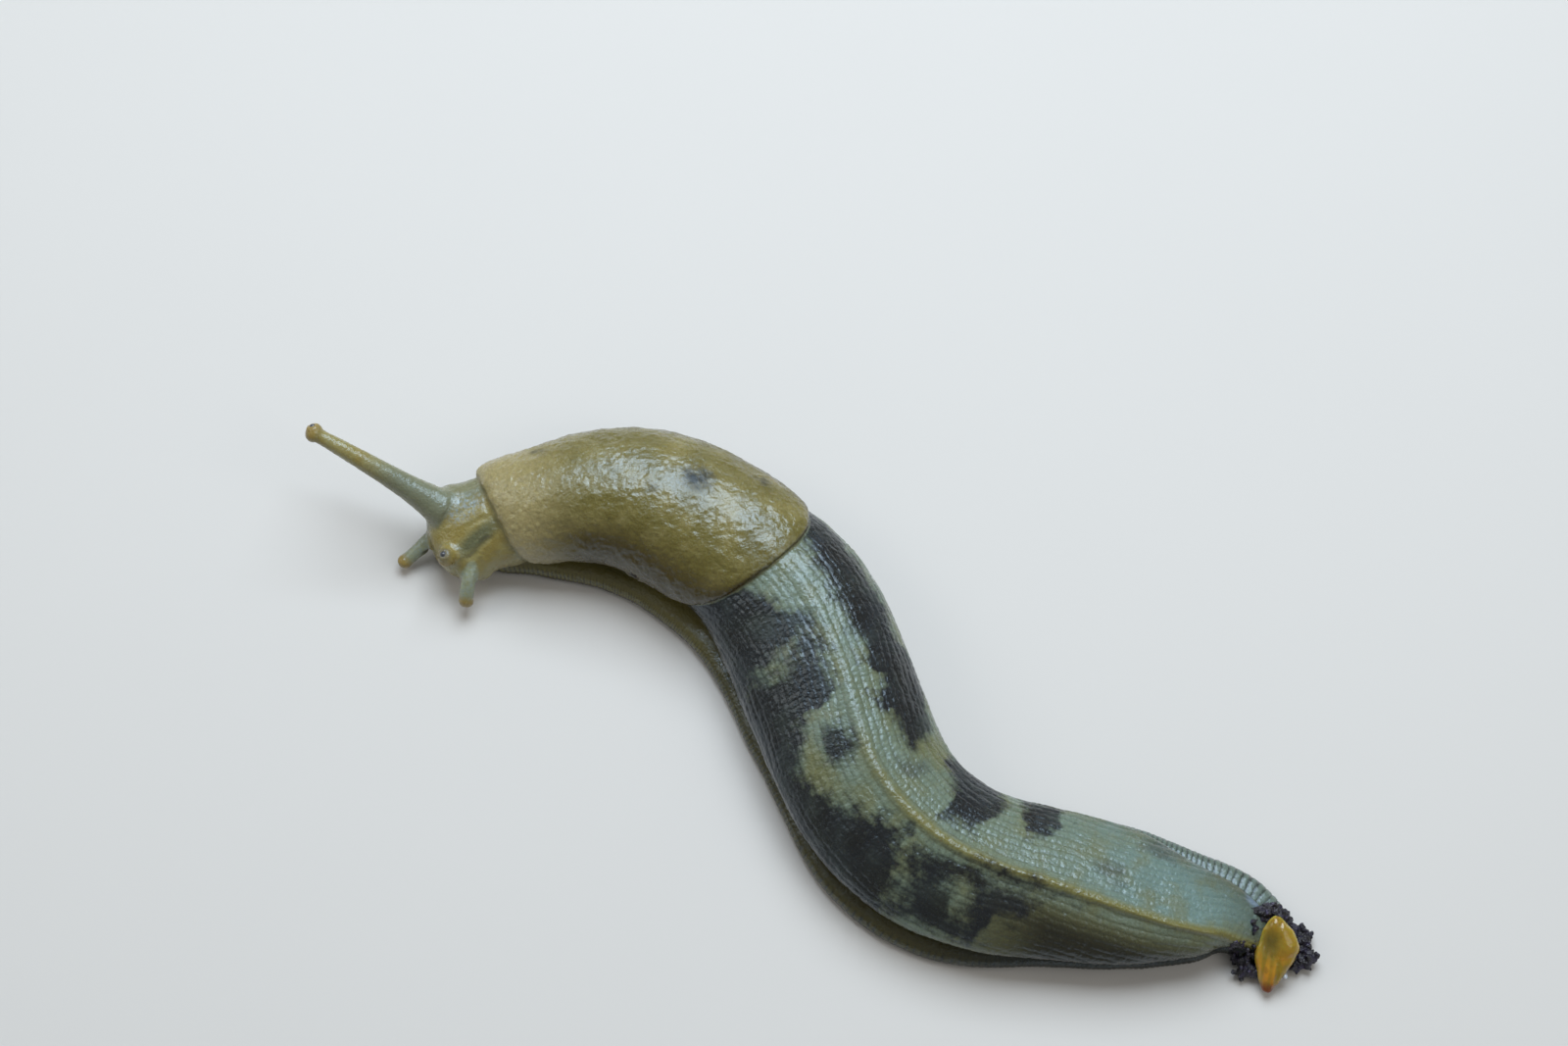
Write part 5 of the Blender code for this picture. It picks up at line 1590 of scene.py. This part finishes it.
def build_crumbs(offset, material):
    draw = random.Random(CRUMB_SEED)
    for name, (start, end, count) in CRUMB_ARCS.items():
        shape = bmesh.new()
        for i in range(count):
            degrees = start + (end - start) * i / (count - 1)
            turn = math.radians(degrees)
            radius = draw.uniform(*CRUMB_RADII)
            spread = draw.uniform(*CRUMB_SPREAD)
            x = CRUMB_CENTRE[0] + (CRUMB_REACH[0] + spread) * math.cos(turn)
            y = CRUMB_CENTRE[1] + (CRUMB_REACH[1] + spread) * math.sin(turn)
            climb = float(smooth_step((degrees - CRUMB_CLIMB[0]) / (CRUMB_CLIMB[1] - CRUMB_CLIMB[0])))
            climb *= GROOVE_HEIGHT if degrees < 180.0 else 0.0
            centre = Vector((x, y, climb + radius * draw.uniform(*CRUMB_LIFT)))
            turned = Matrix.Rotation(turn * 3.0, 4, "Z") @ Matrix.Diagonal((1.0, 0.82, 0.9, 1.0))
            place_here = Matrix.Translation(centre) @ turned
            bmesh.ops.create_icosphere(shape, subdivisions=3, radius=radius * 0.9, matrix=place_here)
            for _ in range(CRUMB_BITS):
                way = Vector([draw.uniform(-1.0, 1.0) for _ in range(3)]).normalized()
                bit = Matrix.Translation(centre + way * radius * 0.9)
                size = draw.uniform(*CRUMB_BIT_RADII)
                bmesh.ops.create_icosphere(shape, subdivisions=2, radius=size, matrix=bit)
        if name == "tail_crumbs_left":
            for step in range(CRUMB_TRAIL_COUNT):
                share = step / (CRUMB_TRAIL_COUNT - 1)
                spot = read_table(CRUMB_TRAIL, share)
                jitter = Vector([draw.uniform(-0.45, 0.45) for _ in range(3)])
                bit = Matrix.Translation(Vector([float(value) for value in spot]) + jitter)
                size = draw.uniform(*CRUMB_BIT_RADII)
                bmesh.ops.create_icosphere(shape, subdivisions=2, radius=size, matrix=bit)
        mesh = bpy.data.meshes.new("crumbs")
        shape.to_mesh(mesh)
        shape.free()
        grown = regrow(mesh, CRUMB_CELL)
        points = Smoother(grown).smooth(points_of(grown), 1)
        normals = normals_of(grown)
        rise = 0.16 * noise(points, 0.6, 91) + 0.12 * noise(points, 0.28, 92) - 0.06
        points = points + normals * rise[:, None]
        points[:, 2] = np.maximum(points[:, 2], 0.02)
        finish_mesh(name + "_clods", grown, points, offset, material, "soil_crumbs", name)


def build_floor():
    shape = bmesh.new()
    bmesh.ops.create_grid(shape, x_segments=8, y_segments=8, size=1.5)
    mesh = bpy.data.meshes.new("floor")
    shape.to_mesh(mesh)
    shape.free()
    mesh.materials.append(make_floor_material())
    floor = bpy.data.objects.new("floor", mesh)
    floor.location.z = -0.00002
    bpy.context.scene.collection.objects.link(floor)


# Soft lights as (place, size, power, colour), aimed at the slug
LIGHTS = (
    ((0.02, 0.25, 0.43), 0.36, 2.9, (0.82, 0.91, 1.0)),
    ((-0.40, 0.10, 0.34), 0.22, 0.35, (1.0, 0.97, 0.92)),
    ((0.34, -0.14, 0.36), 0.26, 0.35, (1.0, 0.97, 0.92)),
)
AMBIENT = 0.22
CAMERA_LENS = 70.0
CAMERA_SENSOR = 36.0
CAMERA_ELEVATION = math.radians(68.0)
CAMERA_DISTANCE = 357.78


def light_scene():
    for index, (spot, size, power, colour) in enumerate(LIGHTS):
        light = bpy.data.lights.new(f"softbox_{index}", "AREA")
        light.shape = "RECTANGLE"
        light.size = light.size_y = size
        light.energy = power
        light.color = colour
        lamp = bpy.data.objects.new(light.name, light)
        lamp.location = spot
        lamp.rotation_euler = (-Vector(spot)).to_track_quat("-Z", "Y").to_euler()
        bpy.context.scene.collection.objects.link(lamp)
    world = bpy.data.worlds.new("studio")
    world.use_nodes = True
    world.node_tree.nodes["Background"].inputs["Color"].default_value = (1.0, 0.98, 0.94, 1.0)
    world.node_tree.nodes["Background"].inputs["Strength"].default_value = AMBIENT
    bpy.context.scene.world = world


def set_camera(offset):
    data = bpy.data.cameras.new("camera")
    data.lens = CAMERA_LENS
    data.sensor_width = CAMERA_SENSOR
    data.clip_start = 0.01
    camera = bpy.data.objects.new("camera", data)
    away = np.array((0.0, -math.cos(CAMERA_ELEVATION), math.sin(CAMERA_ELEVATION)))
    camera.location = tuple((offset + away * CAMERA_DISTANCE) * MM)
    camera.rotation_euler = (math.pi / 2.0 - CAMERA_ELEVATION, 0.0, 0.0)
    bpy.context.scene.collection.objects.link(camera)
    bpy.context.scene.camera = camera


def main():
    for thing in list(bpy.data.objects):
        bpy.data.objects.remove(thing)
    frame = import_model()
    low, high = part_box("eye_right")
    offset = np.array((low + high) / 2.0) / MM - eye_middle("upper_right")[0]
    offset[2] = 0.0
    film = make_wet_film()
    apart = ("eye_left", "eye_right", "tail_mucus_plug", "tail_crumbs_left", "tail_crumbs_right")
    flesh = [name for name in frame["nodes"] if name not in apart]
    build_skin(offset, make_skin(film), flesh)
    eye_material = make_eye_material(film)
    build_eye("upper_right", offset, eye_material)
    build_eye("upper_left", offset, eye_material)
    build_plug(offset, make_mucus_material(film))
    build_bead(offset, make_drop_material(film))
    build_crumbs(offset, make_crumb_material(film))
    build_floor()
    light_scene()
    bpy.context.scene.view_settings.view_transform = "Standard"
    set_camera(offset)
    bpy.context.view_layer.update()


main()
